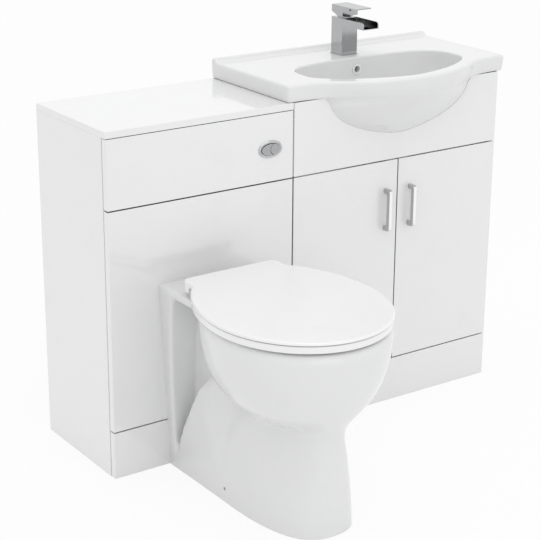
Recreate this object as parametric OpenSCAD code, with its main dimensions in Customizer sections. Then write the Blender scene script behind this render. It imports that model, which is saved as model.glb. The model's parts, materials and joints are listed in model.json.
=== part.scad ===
// Toilet and basin combination unit: two fitted floor cabinets side by side against one wall.
// The left unit hides a cistern and carries a back-to-wall pan; the right one carries a ceramic
// basin that bulges out over two doors.
// Frame: z = 0 is the floor, y = 0 is the wall, the fronts face -y, and x = 0 is the right side
// of the toilet unit, where the basin unit joins it.

/* [Cabinets] */
// Width of the toilet unit
wc_w = 500; // [450:5:600]
// Width of the basin unit's cabinet
cab_w = 637.4; // [600:0.2:720]
// Depth of both units, wall to face of fronts
depth = 328; // [300:1:380]
// Height of both cabinets
height = 831; // [800:1:880]
// Thickness of sides, rails, cabinet floor and top board
board_t = 16; // [15:1:19]
// Thickness of doors, fascias and plinths
front_t = 18; // [16:1:22]
// Gap between neighbouring fronts
front_gap = 3; // [2:0.5:4]
// Height of the gap line under the upper fascias
mid_line = 650; // [600:1:690]
// Height of the gap line over the plinths
plinth_line = 116.5; // [80:0.5:150]
// Gap between the two units
unit_gap = 0.6; // [0.4:0.1:2]
// Depth of the back rails and fixing battens
rail_h = 90; // [60:5:110]

/* [Doors] */
// Distance between a handle's two screws
handle_centres = 96; // [64:32:160]
// How far a handle stands out from its door
handle_reach = 24; // [20:1:35]
// Width of a handle's bar
handle_w = 9; // [7:0.5:14]
// Distance from a handle's centre line to the gap between the doors
handle_in = 38.5; // [30:0.5:60]
// Height of the middle of the handles
handle_z = 525; // [400:5:560]
// Diameter of a hinge cup
cup_d = 35; // [26:9:35]
// Distance of a hinge from its door's top or bottom edge
hinge_in = 90; // [70:5:140]

/* [Basin] */
// Overall width of the basin
basin_w = 672; // [640:1:760]
// Centre of the basin, measured from x = 0
basin_x = 320; // [300:1:370]
// Height of the basin's deck above the cabinet
rim_h = 41; // [30:1:60]
// How far the bulge reaches past the straight front edge
bulge = 90; // [60:1:120]
// Radius of the bulge's outline in plan
bulge_r = 339; // [300:1:400]
// Half width of the bowl's mouth
bowl_half = 235; // [200:1:260]
// Depth of the bowl, deck to waste
bowl_deep = 144; // [110:1:160]
// Thickness of the ceramic under the bowl
ceramic_t = 15; // [10:1:20]
// Height of the ridge along the wall above the deck
ridge_h = 9; // [4:1:20]
// Diameter of the overflow hole
overflow_d = 17; // [12:1:24]
// Height of the overflow above the cabinet
overflow_up = 10; // [0:1:16]

/* [Tap] */
// Width and depth of the tap's body and lever block
tap_w = 45; // [36:1:55]
// Height of the tap's body over its base plate
tap_h = 92; // [80:1:140]
// Reach of the spout past the body
spout_reach = 86; // [60:1:130]
// Height of the spout's sides
spout_h = 17; // [12:1:24]
// Length of the lever plate
lever_l = 99; // [80:1:130]
// Distance of the tap's centre from the wall
tap_y = 95.5; // [85:0.5:110]

/* [Pan] */
// Centre line of the pan and cistern
pan_x = -236; // [-300:1:-210]
// Height of the pan's rim
pan_h = 457; // [400:1:480]
// Width of the pan at its rim
pan_w = 390.8; // [350:0.2:410]
// Distance from the wall to the front of the pan
pan_reach = 901; // [860:1:940]
// Thickness of the pan's walls
pan_t = 14; // [10:1:20]
// Height of the pan's outlet above the floor
outlet_z = 185; // [170:1:220]
// Outer diameter of the outlet and of the soil pipe
soil_d = 110; // [100:1:112]
// Height of the flush inlet above the floor
inlet_z = 360; // [330:1:390]
// Outer diameter of the flush pipe
flush_d = 50; // [40:1:55]

/* [Seat] */
// Width of the lid
seat_w = 406; // [370:1:430]
// Thickness of the seat ring
seat_t = 14; // [10:1:20]
// Distance between the seat's two fixing bolts
seat_bolts_w = 155; // [130:5:180]
// Gap between the pan's rim and the seat ring
seat_gap = 5; // [3:1:8]
// Height of the lid's top over the pan's rim, at the hinge
lid_back_h = 37; // [34:1:45]
// Fall of the lid towards the front
lid_fall = 10; // [6:1:12]

/* [Cistern] */
// Width of the cistern
cis_w = 380; // [340:5:400]
// Depth of the cistern, front to back
cis_d = 150; // [130:5:165]
// Height of the cistern without its lid
cis_h = 290; // [240:5:300]
// Height of the cistern's bottom above the floor
cis_z = 475; // [460:5:500]
// Wall of the cistern
cis_t = 3; // [2.5:0.5:4]
// Width of the flush button's bezel
button_w = 67; // [60:1:80]
// Height of the flush button's bezel
button_h = 42; // [36:1:50]
// Distance of the button's centre from x = 0
button_in = 66.6; // [55:0.2:120]
// Height of the button's centre
button_z = 730; // [700:1:760]

/* [Waste] */
// Outer diameter of the waste pipe
waste_d = 32; // [32:8:40]
// Height of the waste pipe above the floor
waste_z = 590; // [540:5:600]

/* [Hidden] */
$fn = 48;
eps = 0.01;
// Running clearance of a pin or stem in its bore, on the radius
run = 0.05;
// Gap kept between loose faces that only just meet
seat_play = 0.3;

// Cabinet planes
front_y = -depth;
front_back = front_y + front_t;
side_front = front_back + 1;
reveal = 1.5;
lower_z0 = plinth_line + front_gap / 2;
lower_z1 = mid_line - front_gap / 2;
upper_z0 = mid_line + front_gap / 2;
plinth_z1 = plinth_line - front_gap / 2;
board_z = height - board_t;
wc_fascia_z1 = board_z - reveal;
cab_x0 = unit_gap;
cab_x1 = unit_gap + cab_w;
cab_mid = (cab_x0 + cab_x1) / 2;
door_mid = cab_mid - 0.3;
door_l0 = cab_x0 + reveal;
door_r1 = cab_x1 - reveal;
white = [0.93, 0.93, 0.93];
chrome = [0.78, 0.80, 0.82];

// ---- shared shapes ----------------------------------------------------------------------------

// Egg-shaped section: a superellipse with its own reach and fullness to the front and the back
function egg(x, y, hw, front, back, nf, nb, n = 40) = [
    for (i = [0 : n - 1])
        let (a = 360 * i / n, c = cos(a), s = sin(a), p = 2 / (s < 0 ? nf : nb))
        [x + hw * sign(c) * pow(abs(c), p), y + (s < 0 ? front : back) * sign(s) * pow(abs(s), p)]];

// A thin horizontal slice, the building block of every loft
module slice(z, outline) translate([0, 0, z]) linear_extrude(eps) polygon(outline);

// Convex loft: hulls between neighbouring slices, whose outline is a function of the height
module loft(levels, outline_at) {
    for (i = [0 : len(levels) - 2]) hull() {
        slice(levels[i], outline_at(levels[i]));
        slice(levels[i + 1], outline_at(levels[i + 1]));
    }
}

// Skin over rings of equal length, closed at both ends with fans, or round on itself
module skin(rings, wrap = false) {
    m = len(rings);
    n = len(rings[0]);
    middle = function(r) [for (k = [0 : 2]) let (v = [for (p = r) p[k]]) (max(v) + min(v)) / 2];
    points = [for (r = rings) each r, middle(rings[0]), middle(rings[m - 1])];
    sides = [for (i = [0 : m - (wrap ? 1 : 2)], j = [0 : n - 1])
        each let (a = i * n + j, b = i * n + (j + 1) % n,
            c = ((i + 1) % m) * n + (j + 1) % n, d = ((i + 1) % m) * n + j)
        [[a, d, c], [a, c, b]]];
    ends = wrap ? [] : [for (j = [0 : n - 1])
        each [[m * n, j, (j + 1) % n], [m * n + 1, (m - 1) * n + (j + 1) % n, (m - 1) * n + j]]];
    polyhedron(wrap ? [for (r = rings) each r] : points, concat(sides, ends));
}

// Cylinders along x and y
module rod_x(x0, x1, y, z, d) translate([x0, y, z]) rotate([0, 90, 0]) cylinder(h = x1 - x0, d = d);
module rod_y(y0, y1, x, z, d) translate([x, y0, z]) rotate([-90, 0, 0]) cylinder(h = y1 - y0, d = d);

// A box from its two corners
module block(a, b) translate(a) cube(b - a);

// Box whose vertical edges are rounded
module pillar(a, b, r) translate([0, 0, a[2]]) linear_extrude(b[2] - a[2])
    hull() for (x = [a[0] + r, b[0] - r], y = [a[1] + r, b[1] - r]) translate([x, y]) circle(r);

// ---- toilet unit: boards ----------------------------------------------------------------------

connector_at = [[-60, 155], [-60, 700], [-250, 155], [-250, 700]];
connector_d = 8;

module side_panel(x0, top, holes) difference() {
    block([x0, side_front, 0], [x0 + board_t, 0, top]);
    if (holes) for (c = connector_at) rod_x(x0 - 1, x0 + board_t + 1, c[0], c[1], connector_d);
}

module wc_side_left() color(white) side_panel(-wc_w, board_z, false);

module wc_side_right() color(white) side_panel(-board_t, board_z, true);

module wc_top_board() color(white) block([-wc_w, front_y, board_z], [0, 0, height]);

module wc_front(z0, z1) block([-wc_w + reveal, front_y, z0], [-reveal, front_back, z1]);

module wc_upper_fascia() color(white) difference() {
    wc_front(upper_z0, wc_fascia_z1);
    oval_plate(cup_w + 2 * seat_play, cup_h + 2 * seat_play, front_y - 1, front_back + 1);
}

soil_hole = soil_d + 12;
flush_hole = flush_d + 26;
module wc_lower_fascia() color(white) difference() {
    wc_front(lower_z0, lower_z1);
    rod_y(front_y - 1, front_back + 1, pan_x, outlet_z, soil_hole);
    rod_y(front_y - 1, front_back + 1, pan_x, inlet_z, flush_hole);
}

module wc_plinth() color(white) wc_front(0, plinth_z1);

// Rails between the sides: they tie the carcass together and carry fronts and cistern
module wc_rails() color([0.85, 0.84, 0.82]) {
    x0 = -wc_w + board_t;
    x1 = -board_t;
    difference() {
        block([x0, -board_t, board_z - rail_h], [x1, 0, board_z]);
        for (s = [-1, 1]) rod_y(-board_t - 1, -screw_end, pan_x + s * screw_in, screw_z, screw_core);
    }
    block([x0, -board_t, 20], [x1, 0, 20 + rail_h]);
    block([x0, front_back, mid_line - rail_h / 2], [x1, front_back + board_t, mid_line + rail_h / 2]);
    block([x0, front_back, board_z - board_t * 1.5], [x1, front_back + board_t, board_z]);
    block([x0, front_back, 0], [x1, front_back + board_t, plinth_z1 + 5]);
}

// Two-part connector screws that join the neighbouring side panels
module unit_connectors() color(chrome) for (c = connector_at) {
    rod_x(-board_t - 2, cab_x0 + board_t, c[0], c[1], connector_d - 2 * run);
    rod_x(-board_t - 4, -board_t - seat_play / 3, c[0], c[1], 15);
    rod_x(cab_x0 + board_t, cab_x0 + board_t + 3, c[0], c[1], 15);
}

// ---- cistern ----------------------------------------------------------------------------------

cis_x0 = pan_x - cis_w / 2;
cis_y1 = -board_t - 1;
cis_y0 = cis_y1 - cis_d;
cis_mid_y = (cis_y0 + cis_y1) / 2;
cis_top = cis_z + cis_h;
cis_r = 14;
lid_t = 4;
fill_x = pan_x - cis_w / 2 + 45;
fill_d = 20.96;
flush_tail_d = 58;
screw_in = 70;
screw_z = cis_top - 26;
screw_core = 6;
screw_end = 3;

module cistern_tank() color([0.88, 0.88, 0.9]) difference() {
    pillar([cis_x0, cis_y0, cis_z], [cis_x0 + cis_w, cis_y1, cis_top], cis_r);
    pillar([cis_x0 + cis_t, cis_y0 + cis_t, cis_z + cis_t],
        [cis_x0 + cis_w - cis_t, cis_y1 - cis_t, cis_top + 1], cis_r - cis_t);
    translate([pan_x, cis_mid_y, cis_z - 1]) cylinder(h = cis_t + 2, d = flush_tail_d + 2);
    translate([fill_x, cis_mid_y, cis_z - 1]) cylinder(h = cis_t + 2, d = fill_d + 1);
    for (s = [-1, 1]) rod_y(cis_y1 - cis_t - 1, cis_y1 + 1, pan_x + s * screw_in, screw_z, 7);
}

module cistern_lid() color([0.88, 0.88, 0.9]) difference() {
    union() {
        pillar([cis_x0 - 3, cis_y0 - 3, cis_top], [cis_x0 + cis_w + 3, cis_y1, cis_top + lid_t], cis_r);
        pillar([cis_x0 + cis_t + 1, cis_y0 + cis_t + 1, cis_top - 8],
            [cis_x0 + cis_w - cis_t - 1, cis_y1 - cis_t - 1, cis_top + eps], cis_r - cis_t);
    }
    pillar([cis_x0 + cis_t + 4, cis_y0 + cis_t + 4, cis_top - 9],
        [cis_x0 + cis_w - cis_t - 4, cis_y1 - cis_t - 4, cis_top], cis_r - cis_t - 3);
    for (s = [-1, 1]) translate([pan_x + s * hose_apart, cis_mid_y, cis_top - 1])
        cylinder(h = lid_t + 2, d = hose_d + 1.4);
}

// Screws and washers that hang the cistern on the rear top rail
module cistern_screws() color(chrome) for (s = [-1, 1]) {
    x = pan_x + s * screw_in;
    rod_y(cis_y1 - cis_t - 2, -screw_end - 1, x, screw_z, screw_core - 2 * run);
    rod_y(cis_y1 - cis_t - 1.5, cis_y1 - cis_t, x, screw_z, 18);
    rod_y(cis_y1 - cis_t - 6, cis_y1 - cis_t - 1.5, x, screw_z, 11);
}

float_d = 56;
stem_d = 22;
float_top = cis_top - 45;
float_h = 70;

// Bottom-entry fill valve: threaded inlet tail, backnut, riser and head with its float arm
module fill_valve() color([0.95, 0.95, 0.95]) translate([fill_x, cis_mid_y, 0]) {
    difference() {
        union() {
            translate([0, 0, cis_z - 42]) cylinder(h = 28, d = fill_d);
            translate([0, 0, cis_z - 15]) cylinder(h = 15 + cis_t, d = fill_d - 2 * seat_play);
            translate([0, 0, cis_z + cis_t]) cylinder(h = 5, d = 36);
            translate([0, 0, cis_z + cis_t]) cylinder(h = float_top - cis_z + 2, d = stem_d);
            translate([0, 0, float_top + 5]) cylinder(h = 26, d = 40);
            translate([-10, 0, float_top + 12]) block([0, -8, 0], [48, 8, 6]);
        }
        translate([0, 0, cis_z - 43]) cylinder(h = float_top - cis_z + 60, d = 9);
    }
    difference() {
        translate([0, 0, cis_z - 12]) cylinder(h = 12, d = 34, $fn = 6);
        translate([0, 0, cis_z - 13]) cylinder(h = 14, d = fill_d);
    }
}

// Float that rides up and down on the fill valve's riser
module float_cup() color([0.80, 0.85, 0.9]) translate([fill_x, cis_mid_y, 0]) difference() {
    translate([0, 0, float_top - float_h]) cylinder(h = float_h, d = float_d);
    translate([0, 0, float_top - float_h - 1]) cylinder(h = float_h + 2, d = stem_d + 2 * run);
    translate([0, 0, float_top - float_h - 1]) difference() {
        cylinder(h = float_h - 3, d = float_d - 5);
        translate([0, 0, -1]) cylinder(h = float_h, d = stem_d + 6);
    }
}

valve_d = 84;
valve_top = cis_top - 22;
guide_d = 30;
valve_seat_z = cis_z + cis_t + 18;
head_l = valve_top - valve_seat_z - 80;

// Flush valve body: threaded tail through the cistern's floor, seat, window cage and head
module flush_valve() color([0.93, 0.93, 0.95]) translate([pan_x, cis_mid_y, 0]) {
    difference() {
        union() {
            translate([0, 0, cis_z - 45]) cylinder(h = 45 + cis_t, d = flush_tail_d);
            translate([0, 0, cis_z + cis_t]) cylinder(h = 18, d = valve_d);
        }
        translate([0, 0, cis_z - 46]) cylinder(h = 80, d = flush_tail_d - 8);
    }
    difference() {
        translate([0, 0, valve_seat_z]) cylinder(h = 80, d = valve_d);
        translate([0, 0, valve_seat_z - 1]) cylinder(h = 76, d = valve_d - 8);
        translate([0, 0, valve_seat_z]) cylinder(h = 100, d = guide_d + 2 * run);
        for (a = [0, 60, 120]) rotate([0, 0, a])
            block([-14, -valve_d, valve_seat_z + 4], [14, valve_d, valve_seat_z + 60]);
    }
    difference() {
        translate([0, 0, valve_seat_z + 80]) cylinder(h = head_l, d = 56);
        translate([0, 0, valve_seat_z + 79]) cylinder(h = head_l - 14, d = guide_d + 2 * run);
        for (s = [-1, 1]) translate([s * hose_apart, 0, valve_top - 9]) cylinder(h = 10, d = hose_d + 0.2);
    }
}

// Overflow pipe with the seal washer, which lifts off its seat to flush
module flush_valve_stem() color([0.75, 0.78, 0.8]) translate([pan_x, cis_mid_y, 0]) difference() {
    union() {
        translate([0, 0, valve_seat_z + eps]) cylinder(h = 5, d = 66);
        translate([0, 0, valve_seat_z + 5]) cylinder(h = valve_top - valve_seat_z - 35, d = guide_d);
    }
    translate([0, 0, valve_seat_z - 1]) cylinder(h = cis_h, d = guide_d - 5);
}

// Flush pipe: down from the cistern's tail, a long bend, and forward to the pan's inlet
bend_r = 60;
bend_z = inlet_z + bend_r;
coupling_z = max(cis_z - 62, bend_z);
pipe_y0 = front_y - 26;
module flush_pipe() color([0.9, 0.9, 0.9]) difference() {
    flush_route(flush_d, 0);
    flush_route(flush_d - 4, 1);
}
module flush_route(d, extra) {
    translate([pan_x, cis_mid_y, bend_z]) cylinder(h = cis_z - 47 - bend_z + extra, d = d);
    translate([pan_x, cis_mid_y - bend_r, bend_z]) rotate([0, 90, 0]) rotate_extrude(angle = 90)
        translate([bend_r, 0]) circle(d = d);
    rod_y(pipe_y0 - extra, cis_mid_y - bend_r, pan_x, inlet_z, d);
}

// Backnut under the cistern and coupling nut round the flush pipe's top
module flush_pipe_nuts() color([0.95, 0.95, 0.95]) translate([pan_x, cis_mid_y, 0]) {
    difference() {
        translate([0, 0, cis_z - 12]) cylinder(h = 12 - eps, d = 80);
        translate([0, 0, cis_z - 13]) cylinder(h = 14, d = flush_tail_d);
    }
    difference() {
        translate([0, 0, coupling_z]) cylinder(h = cis_z - 26 - coupling_z, d = 72);
        translate([0, 0, cis_z - 45]) cylinder(h = 30, d = flush_tail_d);
        translate([0, 0, coupling_z - 1]) cylinder(h = cis_z - 33 - coupling_z, d = flush_d + 2 * seat_play);
    }
}

// Rubber cone that seals the flush pipe in the pan's inlet
cone_y0 = pipe_y0;
module flush_cone() color([0.15, 0.15, 0.15]) difference() {
    union() {
        rod_y(cone_y0, front_y, pan_x, inlet_z, flush_d + 8);
        rod_y(front_y, front_y + 6, pan_x, inlet_z, flush_d + 18);
    }
    rod_y(cone_y0 - 1, front_y + 7, pan_x, inlet_z, flush_d + 2 * run);
}

// ---- flush button -----------------------------------------------------------------------------

barrel_in = 13.5;
barrel_d = 24;
bore_d = 20;
barrel_l = 52;
button_travel = 5;
button_proud = 5;
button_edge = 6.5;
button_slack = 0.4;
button_split = 1.1;
bezel_h = 3.7;
cup_wall = 2;
cup_l = 14;
hose_d = 6;
hose_apart = 12;
barrel_back = front_y + barrel_l;
well_w = button_w - 2 * button_edge;
well_h = button_h - 2 * button_edge;
cup_w = well_w + 2 * cup_wall;
cup_h = well_h + 2 * cup_wall;

// Oval plate of the button, in the plane of the fascia
module oval_plate(w, h, y0, y1) translate([-button_in, y1, button_z]) rotate([90, 0, 0])
    linear_extrude(y1 - y0) polygon([for (i = [0 : 47]) [w / 2 * cos(i * 7.5), h / 2 * sin(i * 7.5)]]);

// Cylinder along y in one of the button's two air barrels: side -1 is the full flush, 1 the half
module barrel(side, y0, y1, d) rod_y(y0, y1, -button_in + side * barrel_in, button_z, d);

// Tapered oval bezel, the cup through the fascia, its backnut and the two air barrels
module button_housing() color(chrome) difference() {
    union() {
        for (k = [0 : 3]) oval_plate(button_w - k * k * 0.7, button_h - k * k * 0.7,
            front_y - bezel_h * (k + 1) / 4, front_y);
        oval_plate(cup_w, cup_h, front_y - 0.5, front_y + cup_l + 10);
        oval_plate(cup_w + 10, cup_h + 10, front_back, front_back + 5);
        for (s = [-1, 1]) {
            barrel(s, front_y + cup_l, barrel_back, barrel_d);
            barrel(s, barrel_back - eps, barrel_back + 6, hose_d + 4);
        }
    }
    oval_plate(well_w, well_h, front_y - 10, front_y + cup_l);
    for (s = [-1, 1]) {
        barrel(s, front_y + cup_l - 1, barrel_back - 4, bore_d);
        barrel(s, barrel_back - 5, barrel_back + 9, hose_d + 2 * seat_play);
    }
}

// The round half-flush button bites into the oval; what is left of the oval is the full flush
half_d = well_h - 2 * button_slack;
half_x = -button_in + well_w / 2 - button_slack - half_d / 2;
plunger_back = barrel_back - 5 - button_travel;
plunger_d = bore_d - 2 * run;
module button_plate() oval_plate(well_w - 2 * button_slack, well_h - 2 * button_slack,
    front_y - button_proud - 1, front_y + 2);
module full_flush_button() color(chrome) {
    difference() {
        button_plate();
        rod_y(front_y - button_proud - 4, front_y + 3, half_x, button_z, half_d + 2 * button_split);
        block([half_x, front_y - 20, button_z - button_h], [0, front_y + 20, button_z + button_h]);
    }
    barrel(-1, front_y + 2 - eps, plunger_back, plunger_d);
}

module half_flush_button() color(chrome) {
    intersection() {
        button_plate();
        rod_y(front_y - button_proud - 2, front_y + 3, half_x, button_z, half_d);
    }
    barrel(1, front_y + 2 - eps, plunger_back, plunger_d);
}

// Air hoses from the barrels to the flush valve's head; the route's points are set by hand
hose_lift = cis_top + lid_t + 18;
function hose_route(s) = let (x = -button_in + s * barrel_in, y = cis_mid_y + s * 12,
    end = pan_x + s * hose_apart) [
    [x, barrel_back - 2, button_z],
    [x, barrel_back + 14, button_z],
    [x, barrel_back + 40, button_z + 10],
    [x, cis_y0 - 26, button_z + 34],
    [x - 4, cis_y0 - 6, hose_lift - 2],
    [x - 16, cis_y0 + 16, hose_lift],
    [x - 60, y - 10, hose_lift],
    [end + 44, y, hose_lift],
    [end + 12, cis_mid_y + s * 4, hose_lift - 4],
    [end, cis_mid_y, hose_lift - 16],
    [end, cis_mid_y, cis_top - 6],
    [end, cis_mid_y, valve_top - 7]];

// Smooth curve through the route's points, and the tube swept along it
function spline(p, k, t) = let (n = len(p) - 1,
    a = p[max(k - 1, 0)], b = p[k], c = p[k + 1], d = p[min(k + 2, n)])
    0.5 * (2 * b + (c - a) * t + (2 * a - 5 * b + 4 * c - d) * t * t + (3 * b - a - 3 * c + d) * t * t * t);
function unit(v) = v / norm(v);
module tube(route, d, sides, steps) {
    path = [for (k = [0 : len(route) - 2], i = [0 : steps - 1]) spline(route, k, i / steps),
        route[len(route) - 1]];
    last = len(path) - 1;
    rings = [for (i = [0 : last]) let (t = unit(path[min(i + 1, last)] - path[max(i - 1, 0)]),
        u = unit(cross(t, [0.31, 0.42, 0.85])), v = cross(t, u))
        [for (j = [0 : sides - 1]) path[i] + d / 2 * (cos(360 * j / sides) * u + sin(360 * j / sides) * v)]];
    skin(rings);
}
module air_hoses() color([0.2, 0.2, 0.2]) for (s = [-1, 1]) tube(hose_route(s), hose_d, 8, 3);

// ---- pan --------------------------------------------------------------------------------------

bowl_y = -675;
bowl_front = pan_reach + bowl_y;
bowl_back = 218.6;
bowl_low = 237.8;
deck_half = 134;
neck_half = 56;
foot_top = 310;
slab_top_d = 57;
slab_low_d = 27;
slab_top_half = 137;
slab_low_half = 113.5;
sump_z = 232;
trap_gap = 10;
pan_fix_y = -558;
pan_fix_z = 30;
pan_fix_d = 8;

// Outside of the bowl: full at the rim, closing in under it
function bowl_at(z) = let (t = max(0, (pan_h - 2 - z) / (pan_h - 2 - bowl_low)),
    q = 0.1 + 0.9 * sqrt(max(0, 1 - pow(t, 2.8))),
    f = 0.4 + 0.6 * sqrt(max(0, 1 - pow(t, 1.9))),
    edge = z > pan_h - 5 ? 4 - sqrt(16 - pow(z - pan_h + 4.9, 2) / 1.5) : 0)
    egg(pan_x, bowl_y, pan_w / 2 * q - edge, bowl_front * f - edge, bowl_back * q - edge, 2.1, 2.2, 44);

// Inside of the bowl, from its mouth down to the sump
function bowl_in_at(z) = let (t = (pan_h - z) / (pan_h - sump_z), q = pow(max(0, 1 - pow(t, 2.4)), 0.8))
    egg(pan_x, bowl_y + 10 + 20 * t, 36 + (pan_w / 2 - 78) * q, 52 + 132 * q, 48 + 112 * q, 2.1, 2.3, 40);

// Foot: its back edge slopes forward with the height, its nose is blunt
function foot_back(z) = -(depth + 42 * min(1, z / 70) + 109 * pow(max(0, z - 70) / (foot_top - 70), 1.35));
function foot_at(z, inset = 0) = let (e = pow(z / 230, 1.4), hw = 110.7 - 41.3 * e - inset,
    nose = -824.9 + 4.7 * e + inset, y1 = -540, back = foot_back(z),
    hb = 114 - (114 - 110.7 + 41.3 * e) * min(1, (-back - depth) / (-y1 - depth)) - inset, n = 24)
    [for (i = [0 : n]) let (a = 180 + 180 * i / n, c = cos(a), s = sin(a))
        [pan_x + hw * sign(c) * pow(abs(c), 2 / 2.9), y1 + (y1 - nose) * sign(s) * pow(abs(s), 2 / 2.9)],
    [pan_x + hb, back], [pan_x - hb, back]];

// Slab against the fascia: wider and deeper towards the deck
function slab_at(z) = let (k = z / pan_h, hw = slab_low_half + (slab_top_half - slab_low_half) * k,
    d = slab_low_d + (slab_top_d - slab_low_d) * pow(k, 3), r = 7,
    edge = z > pan_h - 7 ? 7 - sqrt(max(0, 49 - pow(z - pan_h + 7, 2))) : 0, w = hw - edge, f = front_y - d)
    [[pan_x - w, front_y],
    for (a = [0 : 22.5 : 90]) [pan_x - w + r * (1 - cos(a)), f + r * (1 - sin(a))],
    for (a = [90 : -22.5 : 0]) [pan_x + w - r * (1 - cos(a)), f + r * (1 - sin(a))],
    [pan_x + w, front_y]];

// Deck between slab and bowl, flaring out to the rim
function deck_outline(inset) = let (p = [[deck_half, front_y - 20], [deck_half, -450], [135.5, -466],
    [146, -501], [162.5, -541], [150, -610]])
    concat([for (q = p) [pan_x - q[0] + inset, q[1]]],
        [for (i = [len(p) - 1 : -1 : 0]) [pan_x + p[i][0] - inset, p[i][1]]]);

module deck_layer(z0, z1, inset) translate([0, 0, z0]) linear_extrude(z1 - z0) polygon(deck_outline(inset));

trap_d = 80;
horn_d = 102;
// Trapway: the way out of the sump, over the weir and down to the horn
trap_path = [[-700, sump_z + 22], [-640, sump_z - 6], [-566, sump_z + 32], [-512, sump_z + 38],
    [-462, outlet_z + 50], [-420, outlet_z + 6],
    [-395, outlet_z], [front_y - 4, outlet_z]];
module trapway(d) for (i = [0 : len(trap_path) - 2]) hull() for (p = [trap_path[i], trap_path[i + 1]])
    translate([pan_x, p[0], p[1]]) rotate([90, 0, 0]) cylinder(h = 1, d = d, $fn = 24);

module pan() color([0.95, 0.95, 0.95]) difference() {
    union() {
        difference() {
            union() {
                loft([bowl_low, 243, 252, 268, 295, 330, 370, 410, 440,
                    pan_h - 4.9, pan_h - 2.5, pan_h - eps], function(z) bowl_at(z));
                loft([0, 35, 70, 120, 180, 230, 270, foot_top], function(z) foot_at(z));
                loft([0, 120, 220, 300, 370, 420, pan_h - 7, pan_h - 2, pan_h - eps], function(z) slab_at(z));
                block([pan_x - neck_half, -520, 60], [pan_x + neck_half, front_y - 10, pan_h - 10]);
                deck_layer(pan_h - 16, pan_h - 4, 0);
                deck_layer(pan_h - 4, pan_h - 1.5, 1.5);
                deck_layer(pan_h - 1.5, pan_h, 4);
                deck_layer(pan_h - 20, pan_h - 16, 3);
                deck_layer(pan_h - 24, pan_h - 20, 9);
            }
            foot_cavity();
            block([pan_x - neck_half + pan_t, -440, 60],
                [pan_x + neck_half - pan_t, front_y + 1, outlet_z + 78]);
            block([pan_x - 84, front_y - slab_low_d - 40, -1], [pan_x + 84, front_y + 1, outlet_z + 78]);
        }
        trapway_outer();
    }
    loft([sump_z, 236, 244, 262, 290, 330, 375, 420, pan_h - 6, pan_h + 1],
        function(z) bowl_in_at(min(z, pan_h)));
    trapway(trap_d);
    translate([pan_x, front_y + 1, inlet_z]) rotate([90, 0, 0]) cylinder(h = 29, d = flush_d + 8.6, $fn = 40);
    translate([pan_x, front_y - 20, inlet_z]) rotate([90, 0, 0]) cylinder(h = 160, d = 40, $fn = 24);
    for (s = [-1, 1]) {
        translate([pan_x + s * seat_bolts_w / 2, axis_y, pan_h - 40]) cylinder(h = 50, d = 14, $fn = 24);
        translate([pan_x, pan_fix_y, pan_fix_z]) rotate([0, s * 90, 0]) translate([0, 0, 80])
            cylinder(h = 60, d = pan_fix_d, $fn = 24);
    }
}

foot_cavity_z = sump_z - 6 - trap_d / 2 - trap_gap;
module foot_cavity() loft([-1, 40, 90, 140, foot_cavity_z], function(z) foot_at(max(0, z), pan_t));

module trapway_outer() intersection() {
    trapway(horn_d);
    block([pan_x - 80, -640, 90], [pan_x + 80, front_y - 6, 340]);
}

// Soil connector: a socket over the pan's horn, a plain tube back to the wall, its sealing lip
connector_y1 = -4;
socket_y0 = front_y - 24;
module pan_connector() color([0.92, 0.92, 0.92]) difference() {
    union() {
        rod_y(front_y + front_t + 2, connector_y1, pan_x, outlet_z, soil_d);
        rod_y(socket_y0, front_y + front_t + 22, pan_x, outlet_z, soil_d + 6);
    }
    rod_y(front_y + front_t, connector_y1 + 1, pan_x, outlet_z, soil_d - 7);
    rod_y(socket_y0 - 1, front_y + front_t + 12, pan_x, outlet_z, horn_d + 2 * seat_play);
}

// Floor brackets inside the foot, which the side screws pull the pan down on
bracket_x = 92;
module pan_brackets() color([0.7, 0.7, 0.72]) for (s = [-1, 1]) difference() {
    union() {
        translate([pan_x, 0, 0]) mirror([s < 0 ? 1 : 0, 0, 0]) {
            block([bracket_x - 42, pan_fix_y - 22, 0], [bracket_x, pan_fix_y + 22, 4]);
            block([bracket_x - 4, pan_fix_y - 22, 0], [bracket_x, pan_fix_y + 22, 48]);
        }
    }
    translate([pan_x + s * (bracket_x - 26), pan_fix_y, -1]) cylinder(h = 6, d = 7);
    rod_x(pan_x - bracket_x - 1, pan_x + bracket_x + 1, pan_fix_y, pan_fix_z, 6);
}

// Side screws through the foot into the brackets, and the screws that hold these to the floor
module pan_screws() color(chrome) for (s = [-1, 1]) {
    translate([pan_x, pan_fix_y, 0]) mirror([s < 0 ? 1 : 0, 0, 0]) {
        rod_x(bracket_x - 12, bracket_x + 14, 0, pan_fix_z, 6 - 2 * run);
        rod_x(bracket_x + 5, bracket_x + 11, 0, pan_fix_z, pan_fix_d - 0.6);
        translate([bracket_x - 26, 0, 0]) {
            cylinder(h = 5, d = 7 - 2 * run);
            translate([0, 0, 4]) cylinder(h = 4, d = 13);
        }
    }
}

// ---- seat and lid -----------------------------------------------------------------------------

seat_y = -676;
seat_front = 223.5;
seat_back_r = 279;
lid_back_y = -410.6;
tab_half = 122;
axis_y = -424;
axis_z = pan_h + 18;
pin_d = 8;
eye_r = 8;
ring_z = pan_h + seat_gap;
ring_back = -447;
post_w = 20;
lid_eye_w = 10;
seat_eye_w = 19;
lid_low = ring_z + seat_t + 1;
post_x1 = seat_bolts_w / 2 + post_w / 2;
lid_eye_x0 = post_x1 + 0.5;
seat_eye_x0 = lid_eye_x0 + lid_eye_w + 0.5;

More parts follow.
